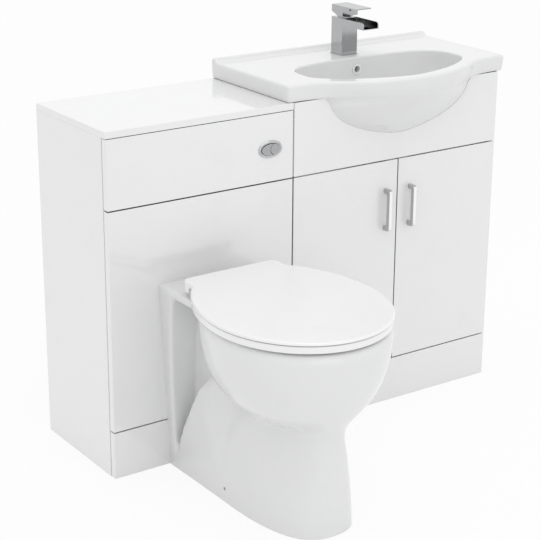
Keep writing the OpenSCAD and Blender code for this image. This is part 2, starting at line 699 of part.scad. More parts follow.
// The seat's outline is a radius round its middle: an egg, with a squarer tab towards the hinge
function seat_r(a) = let (c = cos(a), s = sin(a), back = s > 0 ? seat_back_r : seat_front,
    oval_r = 1 / norm([c / (seat_w / 2), s / back]),
    tab = pow(pow(abs(c) / tab_half, 8) + pow(abs(s) / (lid_back_y - seat_y), 8), -1 / 8))
    s > 0.2 ? min(max(oval_r, tab), (lid_back_y - seat_y) / s) : oval_r;
seat_angles = [for (a = [0 : 8 : 48]) a, for (a = [53 : 3 : 77]) a, 84, 90, 96,
    for (a = [103 : 3 : 127]) a, for (a = [132 : 8 : 180]) a, for (a = [187.5 : 7.5 : 352.5]) a];
function seat_point(a, r) = [pan_x + r * cos(a), seat_y + r * sin(a)];
function hole_r(a) = 1 / norm([cos(a) / 116, sin(a) / (sin(a) > 0 ? 150 : 158)]);
function ring_r(a) = let (s = sin(a)) s > 0.3 ? min(seat_r(a) - 2, (ring_back - seat_y) / s) : seat_r(a) - 2;

module seat_ring() color([0.96, 0.96, 0.96]) {
    r = 5;
    edge = function(inner, inset, up) [for (a = seat_angles)
        let (q = seat_point(a, inner ? hole_r(a) + inset : ring_r(a) - inset)) [q[0], q[1], ring_z + up]];
    skin([edge(false, 1, 0), edge(false, 0, 1.5), edge(false, 0, seat_t - r),
        edge(false, 0.29 * r, seat_t - 0.29 * r), edge(false, r, seat_t), edge(true, r, seat_t - 2),
        edge(true, 0.29 * r, seat_t - 2 - 0.29 * r), edge(true, 0, seat_t - 2 - r),
        edge(true, 0, 1.5), edge(true, 1, 0)], true);
}

// Lid: a shell whose top falls to the front; its skirt is cut short over the hinge
function lid_top(y) = pan_h + lid_back_h - lid_fall * (lid_back_y - y) / (seat_front + lid_back_y - seat_y);
function skirt_low(y) = lid_low + (pan_h + 30 - lid_low) * min(1, max(0, (y + 452) / 14));
lid_wall = 4;
module seat_lid() color([0.97, 0.97, 0.97]) {
    top_edge = function(inset, down) [for (a = seat_angles) let (q = seat_point(a, seat_r(a) - inset))
        [q[0], q[1], lid_top(q[1]) - down]];
    low_edge = function(inset, up) [for (a = seat_angles) let (q = seat_point(a, seat_r(a) - inset))
        [q[0], q[1], skirt_low(q[1]) + up]];
    skin([top_edge(12, lid_wall), top_edge(lid_wall, lid_wall + 1), low_edge(lid_wall, 0), low_edge(0.6, 0),
        low_edge(0, 0.8), top_edge(0, 5), top_edge(1.4, 1.5), top_edge(5, 0)]);
}

// Posts that stand on the deck and carry the hinge pins
module seat_posts() color(chrome) for (s = [-1, 1]) translate([pan_x + s * seat_bolts_w / 2, axis_y, 0])
    difference() {
        union() {
            translate([0, 0, pan_h]) cylinder(h = 2, d = 22);
            block([-post_w / 2, -eye_r, pan_h], [post_w / 2, eye_r, axis_z]);
            rod_x(-post_w / 2, post_w / 2, 0, axis_z, 2 * eye_r);
            rod_x(s > 0 ? 0 : -post_pin, s > 0 ? post_pin : 0, 0, axis_z, pin_d);
        }
        translate([0, 0, pan_h - 1]) cylinder(h = 11, d = 6);
    }
post_pin = seat_eye_x0 + seat_eye_w - 3 - seat_bolts_w / 2;

// Bolts up into the posts, each with a rubber washer and a wing nut under the deck
module seat_bolts() color(chrome) for (s = [-1, 1]) translate([pan_x + s * seat_bolts_w / 2, axis_y, 0]) {
    translate([0, 0, pan_h - 60]) cylinder(h = 68, d = 6 - 2 * run);
    difference() {
        union() {
            translate([0, 0, pan_h - 28]) cylinder(h = 4, d = 24);
            translate([0, 0, pan_h - 38]) cylinder(h = 10, d = 14);
            block([-16, -2, pan_h - 42], [16, 2, pan_h - 32]);
        }
        translate([0, 0, pan_h - 70]) cylinder(h = 60, d = 6);
    }
}

// An eye on an arm: the arm reaches forward from the pin to a foot plate under or behind its panel
module eye(x0, x1, arm_y, arm_z0, arm_z1) difference() {
    union() {
        rod_x(x0, x1, axis_y, axis_z, 2 * eye_r);
        block([x0, arm_y, arm_z0], [x1, axis_y, arm_z1]);
    }
    rod_x(x0 - 1, x1 + 1, axis_y, axis_z, pin_d + 2 * run);
}

module seat_lugs() color([0.93, 0.93, 0.93]) for (s = [0, 1]) translate([pan_x, 0, 0]) mirror([s, 0, 0])
    eye(seat_eye_x0, seat_eye_x0 + seat_eye_w, ring_back, axis_z - eye_r, axis_z + eye_r - 3);

lid_lug_l = 34;
module lid_lugs() color([0.93, 0.93, 0.93]) for (s = [0, 1]) translate([pan_x, 0, 0]) mirror([s, 0, 0])
    difference() {
        union() {
            rod_x(lid_eye_x0, lid_eye_x0 + lid_eye_w, axis_y, axis_z, 2 * eye_r);
            block([lid_eye_x0, axis_y - 14, axis_z], [lid_eye_x0 + lid_eye_w, axis_y - 2, lid_foot_z]);
            block([lid_eye_x0 - 18, axis_y - lid_lug_l, lid_foot_z - 2.4],
                [lid_eye_x0 + lid_eye_w, axis_y - 2, lid_foot_z]);
        }
        rod_x(lid_eye_x0 - 1, lid_eye_x0 + lid_eye_w + 1, axis_y, axis_z, pin_d + 2 * run);
    }
lid_foot_z = lid_top(axis_y - lid_lug_l) - lid_wall - 0.3;

// Buffers under the seat ring
buffer_at = [[40, 182], [140, 182], [232, 182], [308, 182]];
function buffer_point(b) = seat_point(b[0], b[1] - 18 * (sin(b[0]) > 0 ? 0 : 0.5));
module seat_buffers() color([0.9, 0.9, 0.9]) for (b = buffer_at) let (q = buffer_point(b))
    translate([q[0], q[1], pan_h + seat_play]) cylinder(h = seat_gap - seat_play, d1 = 14, d2 = 18);

module lid_buffers() color([0.9, 0.9, 0.9]) for (b = buffer_at)
    let (q = seat_point(b[0], b[1] - 22), top = lid_top(q[1]) - lid_wall - seat_play)
    translate([q[0], q[1], ring_z + seat_t + seat_play])
        cylinder(h = top - ring_z - seat_t - seat_play, d = 12);

// ---- basin unit: boards -----------------------------------------------------------------------

module cab_side_left() color(white) side_panel(cab_x0, height, true);

module cab_side_right() color(white) side_panel(cab_x1 - board_t, height, false);

module cab_floor() color(white)
    block([cab_x0 + board_t, side_front, lower_z0], [cab_x1 - board_t, 0, lower_z0 + board_t]);

front_rail_h = 52;
module cab_rails() color([0.85, 0.84, 0.82]) {
    x0 = cab_x0 + board_t;
    x1 = cab_x1 - board_t;
    rail_z = mid_line + 4;
    block([x0, -board_t, height - rail_h], [x1, 0, height]);
    block([x0, -board_t, lower_z0 + board_t], [x1, 0, lower_z0 + board_t + rail_h]);
    block([x0, front_back, rail_z], [x1, front_back + board_t, rail_z + front_rail_h]);
    for (x = [x0, x1 - board_t])
        block([x, front_back, rail_z + front_rail_h], [x + board_t, front_back + board_t, height]);
    block([x0, front_back, 0], [x1, front_back + board_t, plinth_z1 + 1]);
}

module cab_plinth() color(white) block([door_l0, front_y, 0], [door_r1, front_back, plinth_z1]);

// Upper fascia, cut out round the belly of the basin
module cab_upper_fascia() color(white) difference() {
    block([door_l0, front_y, upper_z0], [door_r1, front_back, height - 0.5]);
    belly(0.8);
}

// ---- basin ------------------------------------------------------------------------------------

deck_z = height + rim_h;
rim_front = 327;
bulge_y = rim_front + bulge - bulge_r;
belly_y = -235;
belly_deep = bowl_deep - rim_h + ceramic_t;
belly_z = height - belly_deep;
bowl_y2 = -268;
bowl_z = deck_z - bowl_deep;
pocket_t = 14;
tap_hole_d = 35;
waste_y = -250;
waste_hole_d = 45;
basin_x0 = basin_x - basin_w / 2;
basin_x1 = basin_x + basin_w / 2;

// Plan outline of the rim, drawn in by an inset: straight front edges that swell into the bulge
function rim_y(x, inset) = let (r = bulge_r - inset, base = rim_front - inset,
    d = sqrt(max(0, r * r - pow(x - basin_x, 2))) + bulge_y - base)
    -(base + (d + sqrt(d * d + 144)) / 2);
function rim_ring(inset, z) = let (x0 = basin_x0 + inset, x1 = basin_x1 - inset, n = 44, r = 7)
    [[x0, 0, z], [x0, -60, z], [x0, rim_y(x0 + r, inset) + r, z],
    [x0 + 0.3 * r, rim_y(x0 + r, inset) + 0.3 * r, z],
    for (i = [0 : n]) let (x = x0 + r + (x1 - x0 - 2 * r) * i / n) [x, rim_y(x, inset), z],
    [x1 - 0.3 * r, rim_y(x1 - r, inset) + 0.3 * r, z], [x1, rim_y(x1 - r, inset) + r, z],
    [x1, -60, z], [x1, 0, z], [basin_x, 0, z]];

// Belly under the bowl, as sections; grow makes the cutter for the fascia
function belly_at(z, grow) = let (t = max(0.02, (z - belly_z) / belly_deep), u = min(1, t),
    hw = 256 * pow(1 - pow(1 - u, 2.6), 1 / 2.2), f = 86 + 84 * pow(t, 0.75), b = 60 + 52 * pow(u, 0.75))
    egg(basin_x, belly_y, hw + grow, f + grow, b + grow, 2.2, 2.4, 44);
belly_levels = [for (k = [0, 0.05, 0.12, 0.22, 0.36, 0.52, 0.7, 0.87, 1, 1.2]) belly_z + k * belly_deep];
module belly(grow) loft(belly_levels, function(z) belly_at(z, grow));

// Inside of the bowl
function bowl_t(z) = pow(1 - pow(min(1, max(0, (deck_z - z) / bowl_deep)), 3), 1 / 2.2);
function basin_in_at(z, flare) = let (q = bowl_t(z))
    egg(basin_x, bowl_y2 * q + waste_y * (1 - q), 36 + (bowl_half - 36) * q + flare,
        36 + (119 - 36) * q + flare, 36 + (118.5 - 36) * q + flare,
        1.6 + 0.4 * (1 - q), 3.6 - 1.6 * (1 - q), 48);
module basin_inside() {
    loft([for (k = [1, 0.985, 0.94, 0.86, 0.74, 0.58, 0.4, 0.2, 0.03]) deck_z - k * bowl_deep],
        function(z) basin_in_at(z, 0));
    hull() {
        slice(deck_z - 0.03 * bowl_deep, basin_in_at(deck_z, 0));
        slice(deck_z + 0.01, basin_in_at(deck_z, 3.5));
    }
}
overflow_z = height + overflow_up;
function back_wall_y(z) = let (q = bowl_t(z)) bowl_y2 * q + waste_y * (1 - q) + 36 + (118.5 - 36) * q;
overflow_y = back_wall_y(overflow_z);
overflow_tilt = atan((back_wall_y(overflow_z + 8) - back_wall_y(overflow_z - 8)) / 16);

// Ridge along the wall, running down to the deck in a cove
ridge_top_w = 13;
cove_w = 22;
module ridge() translate([basin_x0, 0, 0]) rotate([90, 0, 90]) linear_extrude(basin_w)
    polygon([[0, height + 5], [0, deck_z + ridge_h - 1], [-1, deck_z + ridge_h],
    for (a = [90 : -30 : 30]) [-ridge_top_w + 3 - 3 * cos(a), deck_z + ridge_h - 3 + 3 * sin(a)],
    for (i = [1 : 7]) let (k = i / 7) [-ridge_top_w - cove_w * k, deck_z + (ridge_h - 2) * pow(1 - k, 2.2)],
    [-ridge_top_w - cove_w, height + 5]]);

module basin() color([0.97, 0.97, 0.97]) difference() {
    union() {
        difference() {
            union() {
                skin([rim_ring(9, height), rim_ring(5, height + 2), rim_ring(3.2, height + 7),
                    rim_ring(1, height + 20), rim_ring(0, deck_z - 9), rim_ring(0, deck_z - 5),
                    rim_ring(1.3, deck_z - 2), rim_ring(3.4, deck_z - 0.5), rim_ring(6, deck_z)]);
                intersection() {
                    ridge();
                    block([basin_x0 + 1, -60, height + 1], [basin_x1 - 1, 0, deck_z + 50]);
                }
            }
            block([cab_x0 + board_t + 4, -rim_front + 26, height - 1],
                [cab_x1 - board_t - 4, -board_t - 4, deck_z - pocket_t]);
        }
        intersection() {
            belly(0);
            block([0, -500, belly_z - 5], [700, 0, deck_z - 6]);
        }
    }
    basin_inside();
    translate([basin_x, waste_y, belly_z - 10]) cylinder(h = 60, d = waste_hole_d);
    translate([basin_x, -tap_y, deck_z - 40]) cylinder(h = 60, d = tap_hole_d);
    rod_y(overflow_y - 30, overflow_y + 24, basin_x, overflow_z, overflow_d + 4);
}

module overflow_ring() color([0.96, 0.96, 0.96]) translate([basin_x, overflow_y, overflow_z])
    rotate([90 - overflow_tilt, 0, 0])
    rotate_extrude() translate([overflow_d / 2, 0])
    polygon([[0, -6], [1, -6], [1, 0.9], [4.6, 0.9], [4.2, 2.4], [2, 3.4], [0, 2.4]]);

// ---- waste ------------------------------------------------------------------------------------

flange_d = 63;
waste_tail_d = 41.9;
waste_bore = 32;
tail_z = belly_z - 48;
plug_d = 38;

// Slotted basin waste: flange in the bowl, threaded tail below
module basin_waste() color(chrome) translate([basin_x, waste_y, 0]) difference() {
    union() {
        translate([0, 0, tail_z]) cylinder(h = bowl_z - tail_z + 1, d = waste_tail_d);
        translate([0, 0, bowl_z + seat_play]) cylinder(h = 2.5, d1 = flange_d, d2 = flange_d - 4);
    }
    translate([0, 0, tail_z - 1]) cylinder(h = 100, d = waste_bore);
    translate([0, 0, bowl_z - 5]) cylinder(h = 20, d = plug_d + 1);
    block([-7, -30, bowl_z - 22], [7, 30, bowl_z - 12]);
}

// Sprung click plug: dome, stem and guide
module waste_plug() color(chrome) translate([basin_x, waste_y, 0]) {
    translate([0, 0, bowl_z - 4]) cylinder(h = 7, d = plug_d);
    translate([0, 0, bowl_z + 3]) cylinder(h = 2, d1 = plug_d, d2 = plug_d - 8);
    translate([0, 0, bowl_z - 34]) cylinder(h = 31, d = 8);
    difference() {
        translate([0, 0, bowl_z - 34]) cylinder(h = 6, d = waste_bore - 2 * run);
        for (a = [0, 90, 180, 270]) rotate([0, 0, a]) translate([9.5, 0, bowl_z - 35]) cylinder(h = 8, d = 9);
    }
}

// Bottle trap: inlet tube down into the bottle, side outlet towards the wall
bottle_d = 66;
bottle_z0 = waste_z - 95;
bottle_z1 = waste_z + 30;
module waste_trap() color([0.94, 0.94, 0.94]) translate([basin_x, waste_y, 0]) difference() {
    union() {
        translate([0, 0, bottle_z0]) cylinder(h = bottle_z1 - bottle_z0, d = bottle_d);
        translate([0, 0, bottle_z0 - 6]) cylinder(h = 22, d = bottle_d + 8);
        translate([0, 0, bottle_z1 - eps]) cylinder(h = tail_z - bottle_z1 - 1, d = waste_bore + 6);
        rod_y(0, bottle_d / 2 + 18, 0, waste_z, waste_d + 10);
    }
    difference() {
        translate([0, 0, bottle_z0 - 2]) cylinder(h = bottle_z1 - bottle_z0 - 2, d = bottle_d - 6);
        translate([0, 0, bottle_z0 + 25]) cylinder(h = 200, d = waste_bore + 6);
    }
    translate([0, 0, bottle_z0 + 24]) cylinder(h = 300, d = waste_bore);
    rod_y(bottle_d / 2 - 8, bottle_d / 2 + 19, 0, waste_z, waste_d + 0.2);
}

// Backnut and washer under the basin, the trap's inlet nut and its outlet nut
module waste_nuts() color([0.9, 0.9, 0.92]) translate([basin_x, waste_y, 0]) {
    difference() {
        union() {
            translate([0, 0, belly_z - 5]) cylinder(h = 5 - seat_play, d = 60);
            translate([0, 0, belly_z - 15]) cylinder(h = 10, d = 58, $fn = 8);
        }
        translate([0, 0, belly_z - 16]) cylinder(h = 17, d = waste_tail_d);
    }
    difference() {
        translate([0, 0, tail_z - 14]) cylinder(h = 30, d = 54);
        translate([0, 0, tail_z - 0.5]) cylinder(h = 20, d = waste_tail_d);
        translate([0, 0, tail_z - 15]) cylinder(h = 30, d = waste_bore + 6);
    }
    difference() {
        rod_y(bottle_d / 2 + 19, bottle_d / 2 + 37, 0, waste_z, waste_d + 16);
        rod_y(bottle_d / 2 + 18, bottle_d / 2 + 38, 0, waste_z, waste_d);
    }
}

waste_end_y = -4;
module waste_pipe() color([0.94, 0.94, 0.94]) difference() {
    union() {
        rod_y(waste_y + bottle_d / 2 + 2, waste_y + bottle_d / 2 + 40, basin_x, waste_z, waste_d - 0.4);
        rod_y(waste_y + bottle_d / 2 + 39, waste_end_y, basin_x, waste_z, waste_d);
    }
    rod_y(waste_y + bottle_d / 2, waste_end_y + 1, basin_x, waste_z, waste_d - 4);
}

// ---- tap --------------------------------------------------------------------------------------

base_w = 50;
base_t = 2.5;
body_z = deck_z + base_t;
body_top = body_z + tap_h;
tap_front = -tap_y - tap_w / 2;
tap_back = -tap_y + tap_w / 2;
spout_z = body_top - spout_h;
neck_h = 5;
lever_z = body_top + neck_h;
block_h = 22.5;
lever_t = 3;
spout_wall = 3;
cart_d = 32;
cart_l = 42;
turret_d = 22;
lift_z = lever_z + 7;
lift_pin_d = 3;
chamfer_h = 8;
port_l = 14;
port_d = 10;
port_x = 8;
port_y = 5;
port_z = body_top - cart_l - port_l;
stud_d = 8;
stud_y = -9;
stud_low = 42;

// Base plate, square column and an open channel spout, as one casting
module tap_body() color(chrome) difference() {
    union() {
        block([basin_x - base_w / 2, -tap_y - base_w / 2, deck_z],
            [basin_x + base_w / 2, -tap_y + base_w / 2, body_z]);
        block([basin_x - tap_w / 2, tap_front, body_z - eps], [basin_x + tap_w / 2, tap_back, body_top]);
        translate([basin_x - tap_w / 2, 0, 0]) rotate([90, 0, 90]) linear_extrude(tap_w)
            polygon([[tap_front + eps, spout_z], [tap_front - spout_reach + 2, spout_z],
            [tap_front - spout_reach, spout_z + 2],
            for (a = [180 : -15 : 90]) [tap_front - spout_reach + 8 + 8 * cos(a), body_top - 8 + 8 * sin(a)],
            [tap_front + eps, body_top]]);
    }
    channel();
    translate([basin_x, -tap_y, body_top - cart_l]) cylinder(h = cart_l + 1, d = cart_d + 2 * run);
    translate([basin_x, -tap_y, deck_z - 1]) cylinder(h = port_z - deck_z + 1, d = 31);
    for (s = [-1, 1]) translate([basin_x + s * port_x, port_y - tap_y, port_z - 1])
        cylinder(h = port_l + 2, d = port_d);
    translate([basin_x, stud_y - tap_y, port_z - 1]) cylinder(h = 11, d = stud_d);
}

// Open waterfall channel along the top of the spout
module channel() {
    w = tap_w - 2 * spout_wall;
    block([basin_x - w / 2, tap_front - spout_reach - 1, spout_z + spout_wall],
        [basin_x + w / 2, tap_front, body_top + 1]);
}

// Cartridge with its chrome retaining collar, which shows as the neck
module tap_cartridge() color([0.75, 0.76, 0.78]) translate([basin_x, -tap_y, 0]) difference() {
    union() {
        translate([0, 0, body_top - cart_l]) cylinder(h = cart_l, d = cart_d);
        translate([0, 0, body_top - eps]) cylinder(h = neck_h - 1.5, d = tap_w - 9);
    }
    translate([0, 0, body_top - 14]) cylinder(h = 40, d = turret_d + 2 * run);
    for (s = [-1, 1]) translate([s * port_x, port_y, body_top - cart_l - 1]) cylinder(h = 12, d = 6);
}

// Turret that turns in the cartridge and carries the lever on a cross pin
module tap_swivel() color([0.8, 0.8, 0.8]) translate([basin_x, -tap_y, 0]) {
    difference() {
        union() {
            translate([0, 0, body_top - 13.5]) cylinder(h = 13.5 + neck_h - 2, d = turret_d);
            for (s = [-1, 1]) translate([s * 8, 0, 0]) block([-2, -4, body_top], [2, 4, lift_z + 3.5]);
        }
        translate([0, 0, body_top - 9]) cylinder(h = 40, d = 10);
    }
    rod_x(-10.5, 10.5, 0, lift_z, lift_pin_d);
}

// Lever: block, flat plate on top and the spindle between the turret's ears
module tap_lever() color(chrome) {
    z1 = lever_z + block_h;
    difference() {
        union() {
            difference() {
                translate([basin_x - tap_w / 2, 0, 0]) rotate([90, 0, 90]) linear_extrude(tap_w)
                    polygon([[tap_front, lever_z], [-tap_y, lever_z], [tap_back, lever_z + chamfer_h],
                    [tap_back, z1], [tap_front, z1]]);
                translate([basin_x, -tap_y, lever_z - 1]) cylinder(h = 16, d = 32);
            }
            block([basin_x - tap_w / 2, tap_back - lever_l, z1],
                [basin_x + tap_w / 2, tap_back, z1 + lever_t]);
            translate([basin_x, -tap_y, lift_z - 4]) cylinder(h = 12.1, d = 8);
            rod_y(tap_front - 0.8, tap_front + 1, basin_x, lever_z + 14, 5);
        }
        rod_x(basin_x - 6, basin_x + 6, -tap_y, lift_z, lift_pin_d + 2 * run);
    }
}

// Threaded stud, horseshoe washer and nut under the deck; the washer is open where the tails come up
module tap_fixing() color([0.8, 0.72, 0.5]) translate([basin_x, -tap_y, 0]) {
    z = deck_z - pocket_t - seat_play;
    translate([0, stud_y, z - stud_low]) cylinder(h = port_z + 8 - z + stud_low, d = stud_d - 2 * run);
    difference() {
        translate([0, 0, z - 3]) cylinder(h = 3, d = 44);
        translate([0, stud_y, z - 5]) cylinder(h = 8, d = stud_d);
        block([-port_x - port_d / 2 - 1, stud_y + 8, z - 4], [port_x + port_d / 2 + 1, 30, z + 1]);
    }
    difference() {
        translate([0, stud_y, z - 12]) cylinder(h = 9, d = 15, $fn = 6);
        translate([0, stud_y, z - 14]) cylinder(h = 14, d = stud_d);
    }
}

// ---- doors ------------------------------------------------------------------------------------

door_gap_x0 = door_mid - front_gap / 2;
door_gap_x1 = door_mid + front_gap / 2;
hinge_zs = [lower_z0 + hinge_in, lower_z1 - hinge_in];
cup_in = 22.5;
cup_deep = 11.5;
screw_d = 4;

// One door, with its cup pockets and handle screw holes; hx is the cups' place, gx the handle's
module door(x0, x1, hx, gx) difference() {
    block([x0, front_y, lower_z0], [x1, front_back, lower_z1]);
    for (z = hinge_zs) rod_y(front_back - cup_deep - 0.2, front_back + 1, hx, z, cup_d + 0.2);
    for (s = [-1, 1])
        rod_y(front_y - 1, front_back + 1, gx, handle_z + s * handle_centres / 2, screw_d + 0.4);
}
module left_door() color(white) door(door_l0, door_gap_x0, door_l0 + cup_in, door_mid - handle_in);
module right_door() color(white) door(door_gap_x1, door_r1, door_r1 - cup_in, door_mid + handle_in);

// Bow handle: a flat bar on two legs that curve out of the door
handle_leg = 11;
module handle(gx) color([0.85, 0.86, 0.87]) {
    h = handle_centres / 2 + handle_leg / 2;
    r = 9;
    t = 6;
    y1 = front_y - handle_reach;
    outer = concat([[front_y, -h]], [for (a = [0 : 15 : 90]) [y1 + r - r * sin(a), -h + r - r * cos(a)]],
        [for (a = [90 : -15 : 0]) [y1 + r - r * sin(a), h - r + r * cos(a)]], [[front_y, h]]);
    inner = concat([[front_y, h - handle_leg]],
        [for (a = [0 : 15 : 90]) [y1 + t + 5 - 5 * sin(a), h - handle_leg - 5 + 5 * cos(a)]],
        [for (a = [90 : -15 : 0]) [y1 + t + 5 - 5 * sin(a), -h + handle_leg + 5 - 5 * cos(a)]],
        [[front_y, -h + handle_leg]]);
    difference() {
        translate([gx - handle_w / 2, 0, handle_z]) rotate([90, 0, 90]) linear_extrude(handle_w)
            polygon(concat(outer, inner));
        for (s = [-1, 1]) rod_y(front_y - 12, front_y + 1, gx, handle_z + s * handle_centres / 2, screw_d);
    }
    for (s = [-1, 1]) {
        rod_y(front_y - 11, front_back + 1.5, gx, handle_z + s * handle_centres / 2, screw_d - 2 * run);
        rod_y(front_back + eps, front_back + 2, gx, handle_z + s * handle_centres / 2, 8);
    }
}
module left_handle() handle(door_mid - handle_in);
module right_handle() handle(door_mid + handle_in);

// Concealed hinges: plates on the side panels with their arms, and cups in the doors
arm_w = 14;
flange_half = 7;
arm_y = front_back + seat_play + 1.6;
module arm(side) {
    x0 = side < 0 ? cab_x0 + board_t : cab_x1 - board_t;
    for (z = hinge_zs) translate([x0, 0, z]) mirror([side < 0 ? 0 : 1, 0, 0]) {
        block([0, side_front + 20, -22], [3, side_front + 62, 22]);
        block([3 - eps, arm_y, -arm_w / 2], [13, side_front + 60, arm_w / 2]);
        block([3, arm_y, -arm_w / 2], [cup_in + reveal - board_t + 12, front_back + 8, arm_w / 2]);
    }
}
module hinge_arms() color(chrome) {
    arm(-1);
    arm(1);
}

module cups(hx) color(chrome) for (z = hinge_zs) difference() {
    union() {
        rod_y(front_back - cup_deep, front_back + eps, hx, z, cup_d);
        block([hx - flange_half, front_back + eps, z - 26], [hx + flange_half, front_back + 1.2, z + 26]);
    }
    rod_y(front_back - cup_deep + 1.5, front_back + 3, hx, z, cup_d - 4);
}
module left_hinge_cups() cups(door_l0 + cup_in);
module right_hinge_cups() cups(door_r1 - cup_in);

wc_side_left();
wc_side_right();
wc_top_board();
wc_upper_fascia();
wc_lower_fascia();
wc_plinth();
wc_rails();
unit_connectors();
cistern_tank();
cistern_lid();
cistern_screws();
fill_valve();
float_cup();
flush_valve();
flush_valve_stem();
flush_pipe();
flush_pipe_nuts();
flush_cone();
air_hoses();
button_housing();
full_flush_button();
half_flush_button();
pan();
pan_connector();
pan_brackets();
pan_screws();
seat_posts();
seat_bolts();
seat_ring();
seat_lugs();
seat_buffers();
seat_lid();
lid_lugs();
lid_buffers();
cab_side_left();
cab_side_right();
cab_floor();
cab_rails();
cab_upper_fascia();
cab_plinth();
basin();
overflow_ring();
basin_waste();
waste_plug();
waste_trap();
waste_nuts();
waste_pipe();
tap_body();
tap_cartridge();
tap_swivel();
tap_lever();
tap_fixing();
left_door();
right_door();
left_handle();
right_handle();
hinge_arms();
left_hinge_cups();
right_hinge_cups();
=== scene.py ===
import json

import bmesh
import bpy
import numpy as np
from bpy.props import (FloatProperty, FloatVectorProperty, IntProperty, PointerProperty)
from mathutils import Matrix, Vector

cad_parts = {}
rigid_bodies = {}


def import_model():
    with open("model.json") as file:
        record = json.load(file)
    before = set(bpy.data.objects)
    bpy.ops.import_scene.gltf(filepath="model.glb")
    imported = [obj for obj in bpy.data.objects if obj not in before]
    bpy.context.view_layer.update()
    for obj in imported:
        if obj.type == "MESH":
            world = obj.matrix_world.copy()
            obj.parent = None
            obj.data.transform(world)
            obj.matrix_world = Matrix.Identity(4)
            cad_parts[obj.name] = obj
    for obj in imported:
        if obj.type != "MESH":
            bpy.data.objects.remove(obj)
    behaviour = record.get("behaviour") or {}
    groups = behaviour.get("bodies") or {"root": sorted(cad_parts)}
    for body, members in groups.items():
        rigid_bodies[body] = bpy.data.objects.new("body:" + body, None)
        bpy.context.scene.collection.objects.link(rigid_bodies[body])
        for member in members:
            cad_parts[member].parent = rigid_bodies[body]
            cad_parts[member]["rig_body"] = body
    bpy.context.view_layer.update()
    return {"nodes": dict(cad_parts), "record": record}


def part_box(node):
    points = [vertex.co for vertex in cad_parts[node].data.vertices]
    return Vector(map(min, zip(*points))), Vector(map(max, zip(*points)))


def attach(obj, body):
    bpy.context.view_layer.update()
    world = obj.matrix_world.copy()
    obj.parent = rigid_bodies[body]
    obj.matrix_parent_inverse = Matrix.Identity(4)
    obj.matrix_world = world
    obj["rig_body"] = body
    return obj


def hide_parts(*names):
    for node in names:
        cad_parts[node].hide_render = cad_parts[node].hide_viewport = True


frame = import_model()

bl_info = {
    "name": "Bathroom Run Looks",
    "version": (1, 0, 0),
    "blender": (4, 5, 0),
    "location": "3D View > Sidebar > Bathroom",
    "description": "Boards, china, seat, tap and stage for a toilet and basin combination unit",
    "category": "Add Mesh",
}

NODES = frame["nodes"]
BODY_OF = {name: node["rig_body"] for name, node in NODES.items()}
SLOT_OF = {row["node"]: row["material_slot"] for row in frame["record"]["subparts"]}
TAU = 2 * np.pi
HALVINGS = 34  # of a ray's length, which leave less than a millionth of a millimetre


def low(node):
    """Lowest corner of a CAD node in metres."""
    return np.array(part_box(node)[0])


def high(node):
    """Highest corner of a CAD node in metres."""
    return np.array(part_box(node)[1])


def middle(node):
    """Centre of a CAD node's box in metres."""
    return (low(node) + high(node)) / 2


# ---- settings ------------------------------------------------------------------------------------

def length(name, description, default):
    """A length in metres, shown in the scene's own units."""
    return FloatProperty(name=name, description=description, default=default, min=0.0,
                         subtype="DISTANCE", unit="LENGTH", precision=4)


def colour(name, description, default):
    """A linear colour."""
    return FloatVectorProperty(name=name, description=description, default=default, size=3,
                               subtype="COLOR", min=0.0, max=1.0)


def share(name, description, default):
    """A number from 0 to 1."""
    return FloatProperty(name=name, description=description, default=default, min=0.0, max=1.0,
                         subtype="FACTOR")


class BoardSettings(bpy.types.PropertyGroup):
    """Sizes and finish of the lacquered boards."""
    edge: length("Edge radius", "Rounding of the lacquered edges", 0.0007)
    white: colour("Lacquer", "Colour of the white lacquer", (0.83, 0.83, 0.835))
    core: colour("Carcass", "Colour of the melamine on the hidden boards", (0.74, 0.735, 0.72))
    gloss: share("Roughness", "Roughness of the lacquer", 0.16)


class ChinaSettings(bpy.types.PropertyGroup):
    """Sizes and finish of the glazed china."""
    pan_cell: length("Pan cell", "Size of the cells that blend the pan's forms", 0.0034)
    glaze: colour("Glaze", "Colour of the glaze", (0.78, 0.782, 0.785))
    gloss: share("Roughness", "Roughness of the glaze", 0.1)
    columns: IntProperty(name="Columns", description="Points round each section", default=256, min=64)


class SeatSettings(bpy.types.PropertyGroup):
    """Sizes and finish of the seat and its lid."""
    wall: length("Lid wall", "Thickness of the lid's shell", 0.004)
    edge: length("Edge radius", "Rounding of the lid's upper edge", 0.005)
    white: colour("Plastic", "Colour of the seat plastic", (0.88, 0.88, 0.882))
    gloss: share("Roughness", "Roughness of the seat plastic", 0.22)


class MetalSettings(bpy.types.PropertyGroup):
    """Finish of the tap, the buttons and the handles."""
    chrome: colour("Chrome", "Colour of the chrome plate", (0.45, 0.455, 0.46))
    satin: colour("Satin", "Colour of the satin handles", (0.95, 0.95, 0.95))
    # The channel's two colours are painted reflection: near black at the tip and grey at the column, for the
    # dark walls the chrome mirrors
    shade: colour("Channel", "Colour of the spout's channel at its tip", (0.012, 0.012, 0.014))
    root: colour("Channel's root", "Colour of the spout's channel at the column", (0.48, 0.485, 0.49))
    bevel: length("Bevel", "Width of the small bevels on metal edges", 0.0006)


class StageSettings(bpy.types.PropertyGroup):
    """Camera and light."""
    eye: FloatVectorProperty(name="Eye", description="Place of the camera", size=3, unit="LENGTH",
                             default=(-2.06502, -3.21667, 1.67386))
    focal: FloatProperty(name="Focal length", description="Focal length in millimetres on a 36 mm sensor",
                         default=104.097, min=1.0)
    ambient: FloatProperty(name="Ambient", description="Strength of the white surroundings", default=0.9,
                           min=0.0)
    top: FloatProperty(name="Top light", description="Power of the panel above, in watts", default=14.0,
                       min=0.0)
    front: FloatProperty(name="Front light", description="Power of the panel in front, in watts",
                         default=10.0, min=0.0)
    floor: colour("Floor", "Colour of the floor", (0.92, 0.92, 0.92))
    glow: share("Floor brightness", "How far the floor looks white to the eye, over its own shade", 0.88)


